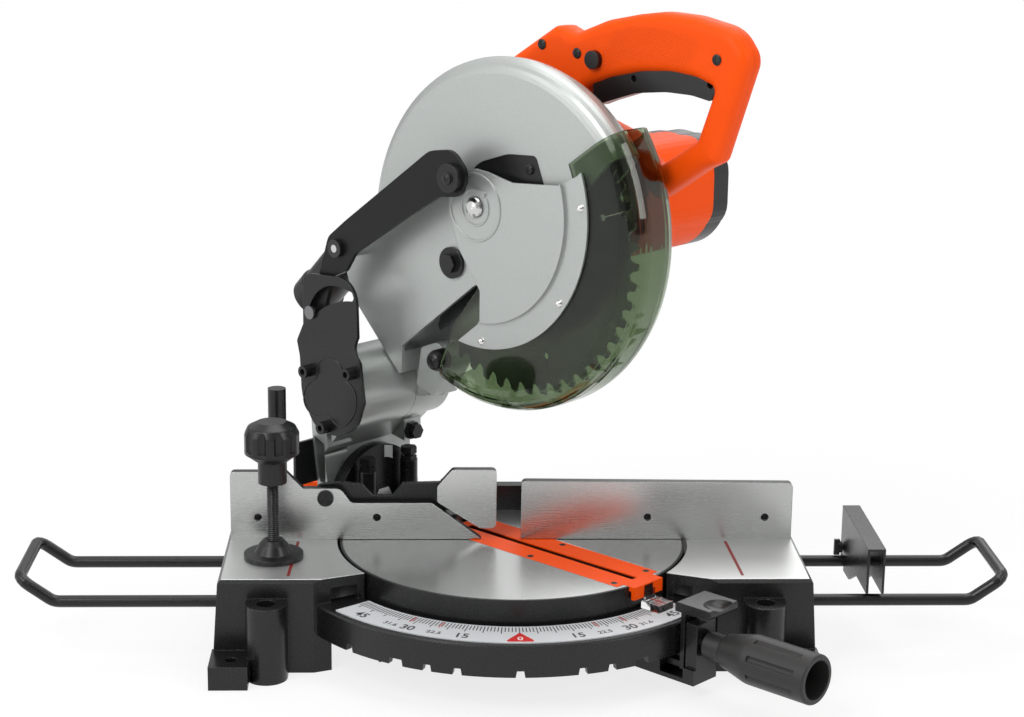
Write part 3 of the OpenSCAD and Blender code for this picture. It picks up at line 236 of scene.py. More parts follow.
RIVET_RING, RIVET_R = 114.0, 3.4


def guard_rivets(f):
    """1 on the three rivets near the rim of the guard's plate."""
    u, v = GUARD_PIVOT
    masks = [round_mask(f, u + RIVET_RING * math.cos(a), v + RIVET_RING * math.sin(a), RIVET_R)
             for a in np.radians([7, -36, -87])]
    return masks[0].most(masks[1]).most(masks[2])


ORANGE = (0.95, 0.086, 0.002)


def orange_shell(name):
    """Orange moulded plastic with a fine spark grain."""
    f = Finish(name, ORANGE, 0.42, Specular_IOR_Level=0.13)
    grain = f.noise(1.6, 2.0)
    cloud = f.noise(0.01, 2.0)
    f.set(Base_Color=shade(cloud, [c * 0.94 for c in ORANGE], [c * 1.04 for c in ORANGE]),
          Roughness=0.38 + 0.08 * cloud + 0.08 * grain)
    return f.bump(grain, 0.03, 0.5, Normal=f.edges()[0])


def plain_steel(name, colour=(0.45, 0.45, 0.46), rough=0.3):
    """Turned steel with fine streaks."""
    f = Finish(name, colour, rough, 1.0)
    streak = f.noise(1.2, 3.0, 0.6)
    f.set(Base_Color=shade(streak, [c * 0.8 for c in colour], [min(1.0, c * 1.15) for c in colour]),
          Roughness=rough - 0.05 + 0.15 * streak)
    return f.bump(streak, 0.01, 0.4)


black_casting = cast_black("satin_black_casting")
black_plastic = cast_black("black_moulded_plastic", (0.007, 0.007, 0.0075), 0.3, 1.5, 0.03)
black_steel = cast_black("black_oxide_steel", (0.011, 0.011, 0.012), 0.28, 0.6, 0.015, edged=False)
grip_rubber = cast_black("dark_grip_plastic", (0.021, 0.021, 0.0205), 0.44, 0.8, 0.07)
paint = silver_paint("silver_paint")
riveted_paint = silver_paint("silver_paint_with_rivets", guard_rivets)
orange = orange_shell("orange_moulded_plastic")
steel = plain_steel("turned_steel")

base_finish = Finish("black_base_with_machined_top", BLACK, 0.4, Specular_IOR_Level=0.4)
table_finish = Finish("turned_table_top", BLACK, 0.34, Specular_IOR_Level=0.4)
fence_finish = Finish("black_fence_with_machined_face", BLACK, 0.34, Specular_IOR_Level=0.4)
flap_finish = Finish("black_flap_with_machined_face", BLACK, 0.34, Specular_IOR_Level=0.4)
pin_finish = Finish("black_lever_with_steel_pin", BLACK, 0.34, Specular_IOR_Level=0.2)
screw_finish = Finish("bright_and_black_screws", (0.6, 0.6, 0.6), 0.2, 1.0)
kerf_finish = Finish("orange_kerf_board", ORANGE, 0.42, Specular_IOR_Level=0.13)
blade_finish = Finish("ground_blade_steel", (0.3, 0.3, 0.31), 0.3, 1.0)
scale_finish = Finish("white_scale_strip", (0.6, 0.615, 0.63), 0.4)
clear_green = Finish("clear_green_guard", (0.3, 0.37, 0.25), 0.04, Transmission_Weight=1.0, IOR=1.4)
clear_lens = Finish("clear_pointer_lens", (0.9, 0.9, 0.9), 0.05, Transmission_Weight=1.0, IOR=1.3)
copper = plain_steel("copper_winding", (0.6, 0.25, 0.1), 0.35)


def machined_face(f, mask, marks, gloss, shade_tone=1.0):
    """Bare alloy where the mask is 1 and satin black casting where it is 0; the black's edges are lightened
    as a painted highlight, and the tone factor darkens the bare alloy as painted shade.
    """
    cloud = f.noise(0.015, 3.0)
    pimples = f.noise(1.1, 2.0)
    bare = shade(cloud, [c * shade_tone for c in (0.62, 0.63, 0.62)], [c * shade_tone for c in (0.72, 0.73, 0.72)])
    soft, glinted = f.edges()
    f.set(Base_Color=mask.mix(glinted.mix((*BLACK, 1.0), EDGE_GLINT), bare), Metallic=mask * 0.95,
          Roughness=(1.0 - mask) * (0.23 + 0.1 * pimples) + mask * (gloss + 0.06 * cloud + 0.05 * marks))
    return f.bump(mask * marks * 0.08 + (1.0 - mask) * pimples, 0.03, 0.5, Normal=soft)


def front_of(f):
    """1 on the machined face of the fence, which stands in the plane y = 0."""
    return 1.0 - f.y.rise(0.05, 0.3)


def top_of(f):
    """1 on the machined top, which lies in the plane of the table."""
    return f.z.rise(TABLE_H - 0.5, TABLE_H - 0.1)


def cutter_lines(f, stretch):
    """Fine parallel lines that a cutter leaves, long where the stretch is small."""
    return f.noise(2.2, 3.0, 0.6, stretch)


TABLE_RIM = 146.0
machined_face(base_finish, top_of(base_finish), cutter_lines(base_finish, (1.0, 0.02, 1.0)), 0.36)
table_radius = (table_finish.x * table_finish.x + table_finish.y * table_finish.y) ** 0.5
table_top = top_of(table_finish) * (1.0 - table_radius.rise(TABLE_RIM, TABLE_RIM + 0.6))
table_rings = (table_radius * 5.0).wave() * 0.25 + table_finish.noise(0.4) * 0.5
machined_face(table_finish, table_top, table_rings, 0.2)
# The fence's and the flap's machined faces are painted darker than the table's, as painted shade.
for finish, shade_tone in ((fence_finish, 0.75), (flap_finish, 0.85)):
    machined_face(finish, front_of(finish), cutter_lines(finish, (0.02, 1.0, 1.0)), 0.22, shade_tone)

# The walls and floor of the kerf slot are painted near black, as painted shade in the slot.
kerf_depth = 1.0 - kerf_finish.v.rise(-1.6, -0.4)
kerf_slot_shade = kerf_depth * (1.0 - kerf_finish.w.size().rise(5.0, 6.0))
kerf_cloud = kerf_finish.noise(0.02, 2.0)
kerf_skin = shade(kerf_cloud, [c * 0.92 for c in ORANGE], ORANGE)
kerf_finish.set(Base_Color=kerf_slot_shade.mix(kerf_skin, (0.02, 0.004, 0.002, 1.0)),
                Roughness=0.36 + 0.12 * kerf_cloud)
kerf_finish.bump(kerf_finish.noise(1.6, 2.0), 0.03, 0.5)

blade_u = blade_finish.u - ARBOR[0]
blade_v = blade_finish.v - ARBOR[1]
blade_radius = (blade_u * blade_u + blade_v * blade_v) ** 0.5
rings = (blade_radius * 6.0).wave() * 0.5 + 0.5
blade_finish.set(Roughness=0.24 + 0.12 * rings,
                 Base_Color=shade(blade_finish.noise(0.03), (0.16, 0.16, 0.165), (0.28, 0.28, 0.29)))
blade_finish.bump(rings, 0.01, 0.4)
scale_finish.set(Roughness=0.36 + 0.1 * scale_finish.noise(0.2))
clear_green.bump(clear_green.noise(0.02, 1.0), 0.15, 0.15)
clear_lens.bump(clear_lens.noise(0.1, 1.0), 0.05, 0.15)

pin_head = pin_finish.w.rise(61.2, 61.4)
pin_finish.set(Base_Color=shade(pin_head, BLACK, (0.2, 0.2, 0.205)), Metallic=pin_head * 0.9,
               Roughness=0.28 + 0.1 * pin_finish.noise(0.8))
pin_finish.bump(pin_finish.noise(1.1, 2.0), 0.04, 0.6)
bolt_head, bolt_end = [round_mask(screw_finish, *LINK_PIVOT, radius) for radius in (12.0, 3.4)]
dark_bolt = bolt_head * (1.0 - bolt_end)
screw_finish.set(Base_Color=shade(dark_bolt, (0.62, 0.62, 0.61), (0.012, 0.012, 0.013)),
                 Metallic=1.0 - dark_bolt, Roughness=0.16 + 0.1 * screw_finish.noise(0.5))

FINISHES = {
    base_finish: ["base_casting"],
    table_finish: ["turntable"],
    scale_finish: ["mitre_scale", "bevel_scale"],
    fence_finish: ["guide_fence"],
    flap_finish: ["sub_fence"],
    kerf_finish: ["kerf_board"],
    black_casting: ["holder_left", "holder_right", "stop_plate", "vise_arm", "detent_lever", "link_bracket",
                    "arm_cover"],
    pin_finish: ["link_lever"],
    grip_rubber: ["lock_grip"],
    black_plastic: ["vise_knob", "vise_pad", "motor_cap", "dust_nozzle", "guard_stop", "trigger",
                    "lock_off_button", "shaft_lock", "switch_body", "link_roller", "case_liner",
                    "cover_bolt"],
    black_steel: ["fence_screws", "vise_post", "vise_screw", "stop_plate_screw", "kerf_screws", "stop_bolts",
                  "arm_bolts", "handle_screws", "arbor_bolt"],
    paint: ["arm", "blade_case", "gear_housing"],
    riveted_paint: ["guard_plate"],
    orange: ["motor_housing", "handle_left", "handle_right", "bevel_lever"],
    steel: ["pivot_bolt", "bevel_bolt", "lock_screw", "chop_shaft", "return_spring", "bearings", "spindle",
            "drive_gear", "blade_flanges", "field_core"],
    screw_finish: ["pivot_screws"],
    blade_finish: ["blade"],
    clear_green: ["guard_shroud"],
    clear_lens: ["pointer"],
    copper: ["armature"],
}
for finish, names in FINISHES.items():
    for name in names:
        nodes[name].data.materials.clear()
        nodes[name].data.materials.append(finish.made)


def knurled(name):
    """Orange plastic with a diamond knurl along the grip, between the trigger and the top of the handle; the
    knurl's valleys are painted darker as painted shade.
    """
    f = Finish(name, ORANGE, 0.42, Specular_IOR_Level=0.13)
    grain = f.noise(1.6, 2.0)
    cloud = f.noise(0.01, 2.0)
    grooves = [((f.u + f.v * lean) * 0.95).wave().size() for lean in (1.5, -1.5)]
    lattice = grooves[0].least(grooves[1])
    crown = (f.u - 112.0) * (f.u - 112.0) * 0.0042
    low, high = f.v + crown - 420.0, f.v + crown * 0.9 - 451.0
    slant = f.u - (f.v - 430.0) * 0.6
    patch = (slant.rise(60.0, 68.0) * (1.0 - slant.rise(150.0, 162.0))
             * low.rise(-1.0, 3.0) * (1.0 - high.rise(-5.0, 0.0)))
    # Painted shade in the knurl's valleys, over a random change of tone, with the patch as a whole a little
    # lighter.
    valley_shade = patch * (1.0 - lattice.rise(0.0, 0.7))
    tone_and_valley_shade = 0.25 + cloud * 0.3 + valley_shade * 0.6 - patch * 0.25
    f.set(Base_Color=shade(tone_and_valley_shade, [c * 1.12 for c in ORANGE], [c * 0.66 for c in ORANGE]),
          Roughness=0.38 + 0.08 * cloud + 0.08 * grain)
    return f.bump(grain * 0.06 + patch * lattice, 0.45, 0.8)


def printed(name, colour, rough):
    """Ink or inlay of one colour whose gloss varies a little."""
    f = Finish(name, colour, rough)
    return f.set(Roughness=rough - 0.05 + 0.1 * f.noise(0.5))


knurled_orange = knurled("orange_knurled_plastic")
ink = printed("black_print", (0.012, 0.012, 0.013), 0.5)
red_ink = printed("red_print", (0.55, 0.012, 0.012), 0.45)
dark_red = printed("dark_red_inlay", (0.2, 0.008, 0.008), 0.4)
white_ink = printed("white_print", (0.8, 0.8, 0.8), 0.45)


# Mesh making

def add(name, points, faces, finish, body, smooth=True, replaces=()):
    """Puts a mesh in metres into the scene, on a CAD body."""
    mesh = bpy.data.meshes.new(name)
    points = np.asarray(points, float).reshape(-1, 3)
    mesh.from_pydata(points.tolist(), [], [list(map(int, f)) for f in faces])
    mesh.validate()
    mesh.materials.append(finish.made)
    if smooth:
        mesh.shade_smooth()
        mesh.set_sharp_from_angle(angle=math.radians(38.0))
    piece = bpy.data.objects.new(name, mesh)
    bpy.context.scene.collection.objects.link(piece)
    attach(piece, body)
    if replaces:
        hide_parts(*replaces)
    return piece


def joined(parts):
    """Several (points, faces) pairs as one."""
    points, faces, start = [], [], 0
    for p, f in parts:
        p = np.asarray(p, float).reshape(-1, 3)
        points.append(p)
        faces += [[i + start for i in face] for face in f]
        start += len(p)
    return np.concatenate(points), faces


def sheet_faces(rows, cols, wrap_rows=False):
    """Quads of a grid of points: the columns close into a ring, and the rows too where they wrap."""
    r, c = np.meshgrid(np.arange(rows if wrap_rows else rows - 1), np.arange(cols), indexing="ij")
    r1, c1 = (r + 1) % rows, (c + 1) % cols
    quads = np.stack([r * cols + c, r * cols + c1, r1 * cols + c1, r1 * cols + c], -1)
    return quads.reshape(-1, 4).tolist()


def closed_tube(path, radius, sides):
    """A circle carried round a closed path: the ring stands square to the path at each point."""
    ahead = np.roll(path, -1, 0) - np.roll(path, 1, 0)
    ahead /= np.linalg.norm(ahead, axis=1)[:, None]
    across = np.cross(UP, ahead)
    across /= np.linalg.norm(across, axis=1)[:, None]
    over = np.cross(ahead, across)
    turn = np.linspace(0, 2 * np.pi, sides, endpoint=False)
    ring = np.cos(turn)[None, :, None] * across[:, None] + np.sin(turn)[None, :, None] * over[:, None]
    points = path[:, None] + radius * ring
    return points.reshape(-1, 3), [f[::-1] for f in sheet_faces(len(path), sides, wrap_rows=True)]


def turned(profile, sides, wave=None):
    """A profile of radius and height turned round the z axis; wave adds to the radius by turn and height."""
    profile = np.asarray(profile, float)
    turn = np.linspace(0, 2 * np.pi, sides, endpoint=False)
    radius = np.repeat(profile[:, 0][:, None], sides, 1)
    height = np.repeat(profile[:, 1][:, None], sides, 1)
    if wave is not None:
        radius = radius + wave(turn[None, :], height)
    points = np.stack([radius * np.cos(turn), radius * np.sin(turn), height], -1)
    faces = sheet_faces(len(profile), sides)
    faces += [list(range(sides))[::-1], list(range((len(profile) - 1) * sides, len(profile) * sides))]
    return points.reshape(-1, 3), faces


def rounded(corners):
    """An outline of x, y and corner radius as a dense loop: each corner is an arc between its two sides."""
    arc_step, nearly_straight = 7.0, 1.56
    pts = np.array([c[:2] for c in corners], float)
    loop = []
    for i, (*_, r) in enumerate(corners):
        a, b, c = pts[i - 1], pts[i], pts[(i + 1) % len(pts)]
        la, lc = np.linalg.norm(a - b), np.linalg.norm(c - b)
        d1, d2 = (a - b) / la, (c - b) / lc
        half = math.acos(np.clip(d1 @ d2, -1, 1)) / 2
        if r <= 0 or half > nearly_straight:
            loop.append([b])
            continue
        cut = min(r / math.tan(half), 0.49 * min(la, lc))
        rr = cut * math.tan(half)
        mid = b + (d1 + d2) / np.linalg.norm(d1 + d2) * rr / math.sin(half)
        s, e = b + d1 * cut - mid, b + d2 * cut - mid
        a0 = math.atan2(s[1], s[0])
        sweep = (math.atan2(e[1], e[0]) - a0 + 3 * math.pi) % (2 * math.pi) - math.pi
        t = a0 + sweep * np.linspace(0, 1, max(3, int(abs(math.degrees(sweep)) / arc_step) + 2))
        loop.append(mid + rr * np.stack([np.cos(t), np.sin(t)], 1))
    return np.concatenate(loop)


def spaced(loop, step):
    """The same closed loop with no side longer than step."""
    nxt = np.roll(loop, -1, 0)
    out = []
    for a, b in zip(loop, nxt):
        n = max(1, int(math.ceil(np.linalg.norm(b - a) / step)))
        out.append(a + (b - a) * (np.arange(n) / n)[:, None])
    return np.concatenate(out)


def inside(points, loop):
    """True for the points that a closed loop goes round an odd number of times."""
    x, y = points[:, 0][:, None], points[:, 1][:, None]
    a, b = loop, np.roll(loop, -1, 0)
    cross = (a[:, 1] > y) != (b[:, 1] > y)
    rise = np.where(b[:, 1] == a[:, 1], 1.0, b[:, 1] - a[:, 1])
    at = a[:, 0] + (y - a[:, 1]) * (b[:, 0] - a[:, 0]) / rise
    return (cross & (x < at)).sum(1) % 2 == 1


def within(points, loops):
    """True for the points inside the first loop and outside the others, which are its holes."""
    keep = inside(points, loops[0])
    for hole in loops[1:]:
        keep &= ~inside(points, hole)
    return keep


def depth_in(points, loops):
    """Distance of each point to the nearest side of the loops."""
    best = np.full(len(points), 1e9)
    for loop in loops:
        a, d = loop, np.roll(loop, -1, 0) - loop
        t = ((points[:, None] - a) * d).sum(2) / np.maximum((d * d).sum(1), 1e-12)
        near = a + np.clip(t, 0, 1)[..., None] * d
        best = np.minimum(best, np.linalg.norm(points[:, None] - near, axis=2).min(1))
    return best


def pillow(outline, holes, edge, flat, step=4.0):
    """A face over an outline with holes: its height is flat inside and follows a quarter circle of radius
    edge down to the rim. Gives 2-D points, their heights, the triangles, and the loops' indices."""
    loops = [spaced(loop, step * 0.6) for loop in [outline, *holes]]
    rim = np.concatenate(loops)
    rings = []
    for loop in loops:
        ahead = np.roll(loop, -1, 0) - np.roll(loop, 1, 0)
        length = np.maximum(np.linalg.norm(ahead, axis=1)[:, None], 1e-9)
        normal = np.stack([-ahead[:, 1], ahead[:, 0]], 1) / length
        for k in (15, 30, 45, 60, 75, 90):
            d = edge * (1 - math.cos(math.radians(k)))
            for sign in (1, -1):
                moved = loop + sign * d * normal
                rings.append(moved[within(moved, loops) & (depth_in(moved, loops) > 0.96 * d)])
    lo, hi = rim.min(0), rim.max(0)
    gx, gy = np.meshgrid(np.arange(lo[0], hi[0], step), np.arange(lo[1], hi[1], step))
    grid = np.stack([gx.ravel(), gy.ravel()], 1)
    inner = np.concatenate([*rings, grid[within(grid, loops) & (depth_in(grid, loops) > edge + 0.5)]])
    edges, ids, start = [], [], 0
    for loop in loops:
        n = len(loop)
        ids.append(list(range(start, start + n)))
        edges += [(start + i, start + (i + 1) % n) for i in range(n)]
        start += n
    points = np.concatenate([rim, inner])
    verts, _, tris, source, *_ = delaunay_2d_cdt([Vector(p) for p in points.tolist()], edges, [], 0, 1e-4)
    flat_points = np.array([list(v) for v in verts])
    where = {s: i for i, group in enumerate(source) for s in group}
    ids = [[where[i] for i in loop] for loop in ids]
    tris = np.array(tris)
    tris = tris[within(flat_points[tris].mean(1), loops)]
    d = depth_in(flat_points, loops)
    for loop in ids:
        d[loop] = 0.0
    drop = np.where(d < edge, edge - np.sqrt(np.maximum(edge ** 2 - (edge - d) ** 2, 0.0)), 0.0)
    return flat_points, flat - drop, tris, ids


def shell(outline, holes, low, high, edge):
    """A plate between two heights with its outer edge rounded, closed at the back."""
    s = 1.0 if high > low else -1.0
    flat, height, tris, ids = pillow(outline, holes, edge, abs(high - low))
    n = len(flat)
    front = np.column_stack([flat, low + s * height])
    back = np.column_stack([flat, np.full(n, low)])
    a, b, c = (flat[tris[:, i]] for i in range(3))
    ccw = ((b - a)[:, 0] * (c - a)[:, 1] - (b - a)[:, 1] * (c - a)[:, 0]) > 0
    up = np.where(ccw[:, None], tris, tris[:, ::-1])
    faces = (up if s > 0 else up[:, ::-1]).tolist() + ((up[:, ::-1] if s > 0 else up) + n).tolist()
    for k, loop in enumerate(ids):
        p = flat[loop]
        area = (p[:, 0] * np.roll(p[:, 1], -1) - np.roll(p[:, 0], -1) * p[:, 1]).sum()
        outward = (area > 0) == (k == 0)
        for i, j in zip(loop, loop[1:] + loop[:1]):
            quad = [i + n, j + n, j, i]
            faces.append(quad if outward == (s > 0) else quad[::-1])
    return np.concatenate([front, back]), faces


def in_side(points):
    """Side-view points (u, v, w) in millimetres as places in metres."""
    points = np.asarray(points, float)
    return side(points[:, 0], points[:, 1], points[:, 2])


# Handle shells: the outline of the grip and its finger gap, rounded over on each outer face

HANDLE = rounded([(-44, 356, 6), (-46, 409, 8), (4, 440, 8), (14, 441, 8), (27, 436, 10), (60, 449, 40),
                  (92, 456, 60), (118, 460, 80), (150, 459, 60), (190, 452, 30), (207, 430, 18),
                  (178, 346, 8), (162, 338, 6), (118, 308, 8), (92, 326, 6), (70, 348, 10)])
FINGER_GAP = rounded([(44, 372, 10), (40, 392, 6), (66, 402, 30), (98, 410, 60), (128, 413, 60),
                      (154, 411, 40), (173, 405, 5), (157, 362, 8), (116, 335, 8), (84, 360, 12)])
HANDLE_MID, HANDLE_LEFT, HANDLE_RIGHT = -48.0, -35.0, -62.0
HALF_SEAM, HANDLE_EDGE = 0.15, 10.0
for name, seam, face in (("handle_left", HANDLE_MID + HALF_SEAM, HANDLE_LEFT),
                         ("handle_right", HANDLE_MID - HALF_SEAM, HANDLE_RIGHT)):
    points, faces = shell(HANDLE, [FINGER_GAP], seam, face, HANDLE_EDGE)
    add(name + "_moulding", in_side(points), [f[::-1] for f in faces], knurled_orange, "head",
        replaces=[name])


# Screw heads: a dome with a cross cut in it

def cross_head(centre, axis, radius, rise):
    """Dome over a disc; the cross is two slots that get shallower towards their ends."""
    axis = np.asarray(axis, float) / np.linalg.norm(axis)
    a = np.cross(axis, UP)
    a = a / np.linalg.norm(a) if np.linalg.norm(a) > 1e-6 else np.array([1.0, 0.0, 0.0])
    b = np.cross(axis, a)
    r = np.concatenate([[0.0], np.linspace(0.06, 1.0, 14)])
    t = np.linspace(0, 2 * np.pi, 48, endpoint=False)
    rr, tt = np.meshgrid(r, t, indexing="ij")
    x, y = rr * np.cos(tt), rr * np.sin(tt)
    arm = np.minimum(np.abs(x), np.abs(y))
    cut = np.clip((0.16 - arm) / 0.05, 0, 1) * np.clip((0.72 - rr) / 0.12, 0, 1)
    z = rise * (1 - rr ** 2) - 0.2 * radius * cut
    z[-1] = -0.3
    disc = radius * (x[..., None] * a + y[..., None] * b)
    points = (np.asarray(centre, float) / MM + disc + z[..., None] * axis) * MM
    return points.reshape(-1, 3), sheet_faces(len(r), len(t))


def heads(name, places, axis, radius, rise, finish, body):
    """Heads at several places as one piece."""
    add(name, *joined([cross_head(p, axis, radius, rise) for p in places]), finish, body)


HANDLE_SCREWS = ((-5.3, 424.5), (33.5, 420.5), (177.8, 427.9))
handle_places = [side(u, v, HANDLE_LEFT + 1.0) for u, v in HANDLE_SCREWS]
heads("handle_screw_heads", handle_places, LEFT, 4.4, 0.6, black_steel, "head")
kerf_places = [side(u, 0.1, s * 20.5) for s in (-1, 1) for u in (133, 40, -50)]
heads("kerf_screw_heads", kerf_places, UP, 3.0, 0.3, black_steel, "table")
fence_places = [plan(s * x, 3.0, TABLE_H + 20.0) for s in (-1, 1) for x in (117.0, 219.0)]
heads("fence_hole_screws", fence_places, -BACK, 3.3, 0.8, black_steel, "base")
heads("flap_screw_head", [plan(-161.0, -1.9, TABLE_H + 37.5)], -BACK, 6.6, 0.9, black_steel, "base")
heads("window_screw_head", [side(36, 331, 25.0)], LEFT, 4.0, 0.8, black_steel, "head")
heads("roller_screw_head", [side(-21, 321, 63.0)], LEFT, 3.6, 0.8, black_steel, "link")


# Mitre scale: a stroke for each degree, longer at the fives, with figures under the stops

def bars(angles, inner, outer, half, low, high):
    """Thin boxes that stand on a ring and point at its centre: angle from straight ahead, to the right."""
    corners = np.array([[r, s, z] for z in (0, 1) for r, s in ((0, -1), (1, -1), (1, 1), (0, 1))], float)
    a = np.radians(np.asarray(angles, float))[:, None]
    inner, outer = (np.broadcast_to(np.asarray(e, float), (len(a),))[:, None] for e in (inner, outer))
    r = inner + (outer - inner) * corners[:, 0]
    s = half * corners[:, 1]
    z = np.broadcast_to(low + (high - low) * corners[:, 2], r.shape)
    x = r * np.sin(a) + s * np.cos(a)
    y = -r * np.cos(a) + s * np.sin(a)
    cube = np.array([[0, 3, 2, 1], [4, 5, 6, 7], [0, 1, 5, 4], [1, 2, 6, 5], [2, 3, 7, 6], [3, 0, 4, 7]])
    faces = (cube[None] + 8 * np.arange(len(a))[:, None, None]).reshape(-1, 4)
    return plan(x, y, z).reshape(-1, 3), faces.tolist()


SCALE_TOP = TABLE_H - 20.2
PRINT_LOW, INK_TOP, RED_TOP = SCALE_TOP - 0.05, SCALE_TOP + 0.12, SCALE_TOP + 0.14
STROKE_IN, FIGURE_RING = 156.0, 179.0
degrees = np.arange(-51, 52)
stroke_out = np.where(degrees % 5 == 0, 169.5, 165.5)
strokes = bars(degrees, STROKE_IN, stroke_out, 0.42, PRINT_LOW, INK_TOP)
add("mitre_scale_strokes", *strokes, ink, "base", smooth=False)
strokes = bars([-31.6, -22.5, 22.5, 31.6], STROKE_IN, 168.0, 0.4, PRINT_LOW, RED_TOP)
add("mitre_scale_stop_strokes", *strokes, red_ink, "base", smooth=False)
strokes = bars([45.0], 155.0, 171.5, 0.45, TABLE_H - 13.4, TABLE_H - 13.1)
add("pointer_line", *strokes, red_ink, "table", smooth=False)


def figures(text, size, place, right, up, thick=0.12):
    """Raised figures centred on a place, reading along right."""
    curve = bpy.data.curves.new("figures", "FONT")
    curve.body, curve.size, curve.align_x, curve.align_y = text, size, "CENTER", "CENTER"
    curve.extrude, curve.offset = thick / 2, size * 0.018
    holder = bpy.data.objects.new("figures", curve)
    bpy.context.scene.collection.objects.link(holder)
    mesh = bpy.data.meshes.new_from_object(holder.evaluated_get(bpy.context.evaluated_depsgraph_get()))
    points = np.zeros(len(mesh.vertices) * 3)
    mesh.vertices.foreach_get("co", points)
    faces = [list(p.vertices) for p in mesh.polygons]
    bpy.data.objects.remove(holder)
    bpy.data.meshes.remove(mesh)
    points = points.reshape(-1, 3)
    right, up = np.asarray(right, float), np.asarray(up, float)
    out = np.cross(right, up)
    return (place + (points[:, :1] * right + points[:, 1:2] * up + points[:, 2:] * out)) * MM, faces


BIG, SMALL = 12.5, 7.5
marks = []
for angle, text, size in ((15, "15", BIG), (22.5, "22.5", SMALL), (30, "30", BIG), (35.2, "31.6", SMALL),
                          (45, "45", BIG)):
    for s in (1, -1):
        a = math.radians(s * angle)
        out = np.array([math.sin(a), -math.cos(a), 0.0])
        place = out * FIGURE_RING + UP * (SCALE_TOP + 0.02)
        marks.append(figures(text, size, place, [math.cos(a), math.sin(a), 0.0], -out))
add("mitre_scale_figures", *joined(marks), ink, "base", smooth=False)


# Red lines let into the wings, and the rounded red mark at the centre of the scale

def plate(loop, low, high):
    """A flat plate between two heights over a closed loop of the plan, which runs clockwise."""
    loop = np.asarray(loop, float)
    m = len(loop)
    points = np.concatenate([plan(loop[:, 0], loop[:, 1], low), plan(loop[:, 0], loop[:, 1], high)])
    faces = [[(i + 1) % m, i, i + m, (i + 1) % m + m] for i in range(m)]
    return points, faces + [list(range(m)), [m + i for i in range(m)][::-1]]


def strip(a, b, half, low, high, ends=8):
    """A flat strip with round ends between two points of the plan."""
    a, b = np.asarray(a, float), np.asarray(b, float)
    d = (b - a) / np.linalg.norm(b - a)
    n = np.array([-d[1], d[0]])
    t = np.linspace(0, np.pi, ends)
    arc = half * (np.sin(t)[:, None] * d + np.cos(t)[:, None] * n)
    return plate(np.concatenate([b + arc, a - arc]), low, high)


guide_lines = [strip((s * 184.5, -6), (s * 188, -90), 1.25, TABLE_H - 0.3, TABLE_H + 0.12)
               for s in (-1, 1)]
add("wing_guide_lines", *joined(guide_lines), dark_red, "base", smooth=False)
ZERO_MARK = rounded([(0, -167, 1), (12.5, -186, 2), (-12.5, -186, 2)])
add("scale_zero_mark", *plate(ZERO_MARK, PRINT_LOW, RED_TOP), red_ink, "base", smooth=False)
zero = figures("0", 9.5, BACK * -180.0 + UP * (SCALE_TOP + 0.1), [1.0, 0.0, 0.0], BACK)
add("scale_zero_figure", *zero, white_ink, "base", smooth=False)


# Rubber stop of the guard: a stepped dome on its pin

BUMPER = [(4.0, -6.0), (4.0, 12.0), (9.5, 12.0), (9.5, 21.5), (9.1, 23.4), (8.2, 24.6), (7.9, 26.2),
          (6.9, 27.6), (5.2, 28.6), (4.6, 28.2), (4.4, 27.4)]
points, faces = turned(BUMPER, 48)
add("guard_stop_bumper", in_side(points + np.array([*GUARD_STOP, 0.0])), faces, black_plastic, "head",
    replaces=["guard_stop"])
heads("guard_stop_screw", [side(*GUARD_STOP, 27.4)], LEFT, 4.0, 0.9, black_steel, "head")


# Line pressed into the slotted bracket: a ring round the barrel's axis that draws in at each bolt

turn = np.radians(np.arange(0, 360, 3.0))
bolt_turns = np.radians([154.0, 42.0, 256.0])[:, None]
off_bolt = np.abs((turn - bolt_turns + np.pi) % (2 * np.pi) - np.pi).min(0)
ring = 31.0 - 8.5 * np.exp(-(off_bolt / 0.38) ** 2) + 9.0 * np.exp(-((turn - np.radians(205.0)) / 0.5) ** 2)
pressed = side(CHOP_AXIS[0] + ring * np.cos(turn), CHOP_AXIS[1] + ring * np.sin(turn), 69.0)
add("bracket_pressed_line", *closed_tube(pressed, 0.7 * MM, 8), black_steel, "arm")


# Clamp screw: a rounded thread along the shank

def threaded(centre, radius, low, high, pitch, depth, sides=32):
    """Shank whose radius rises and falls with height less turn, so that the crest winds up it."""
    z = np.arange(low, high + 0.01, pitch / 8)

    def crest(turn, height):
        return -depth * (0.5 + 0.5 * np.cos(2 * np.pi * height / pitch - turn))

    points, faces = turned(np.column_stack([np.full(len(z), radius), z]), sides, crest)
    return points * MM + plan(*centre, 0.0), faces


VISE = (-203.0, -44.0)
add("vise_screw_thread", *threaded(VISE, 5.0, TABLE_H + 15.0, TABLE_H + 85.0, 1.75, 0.6), black_steel,
    "vise_spindle", replaces=["vise_screw"])


# Studio

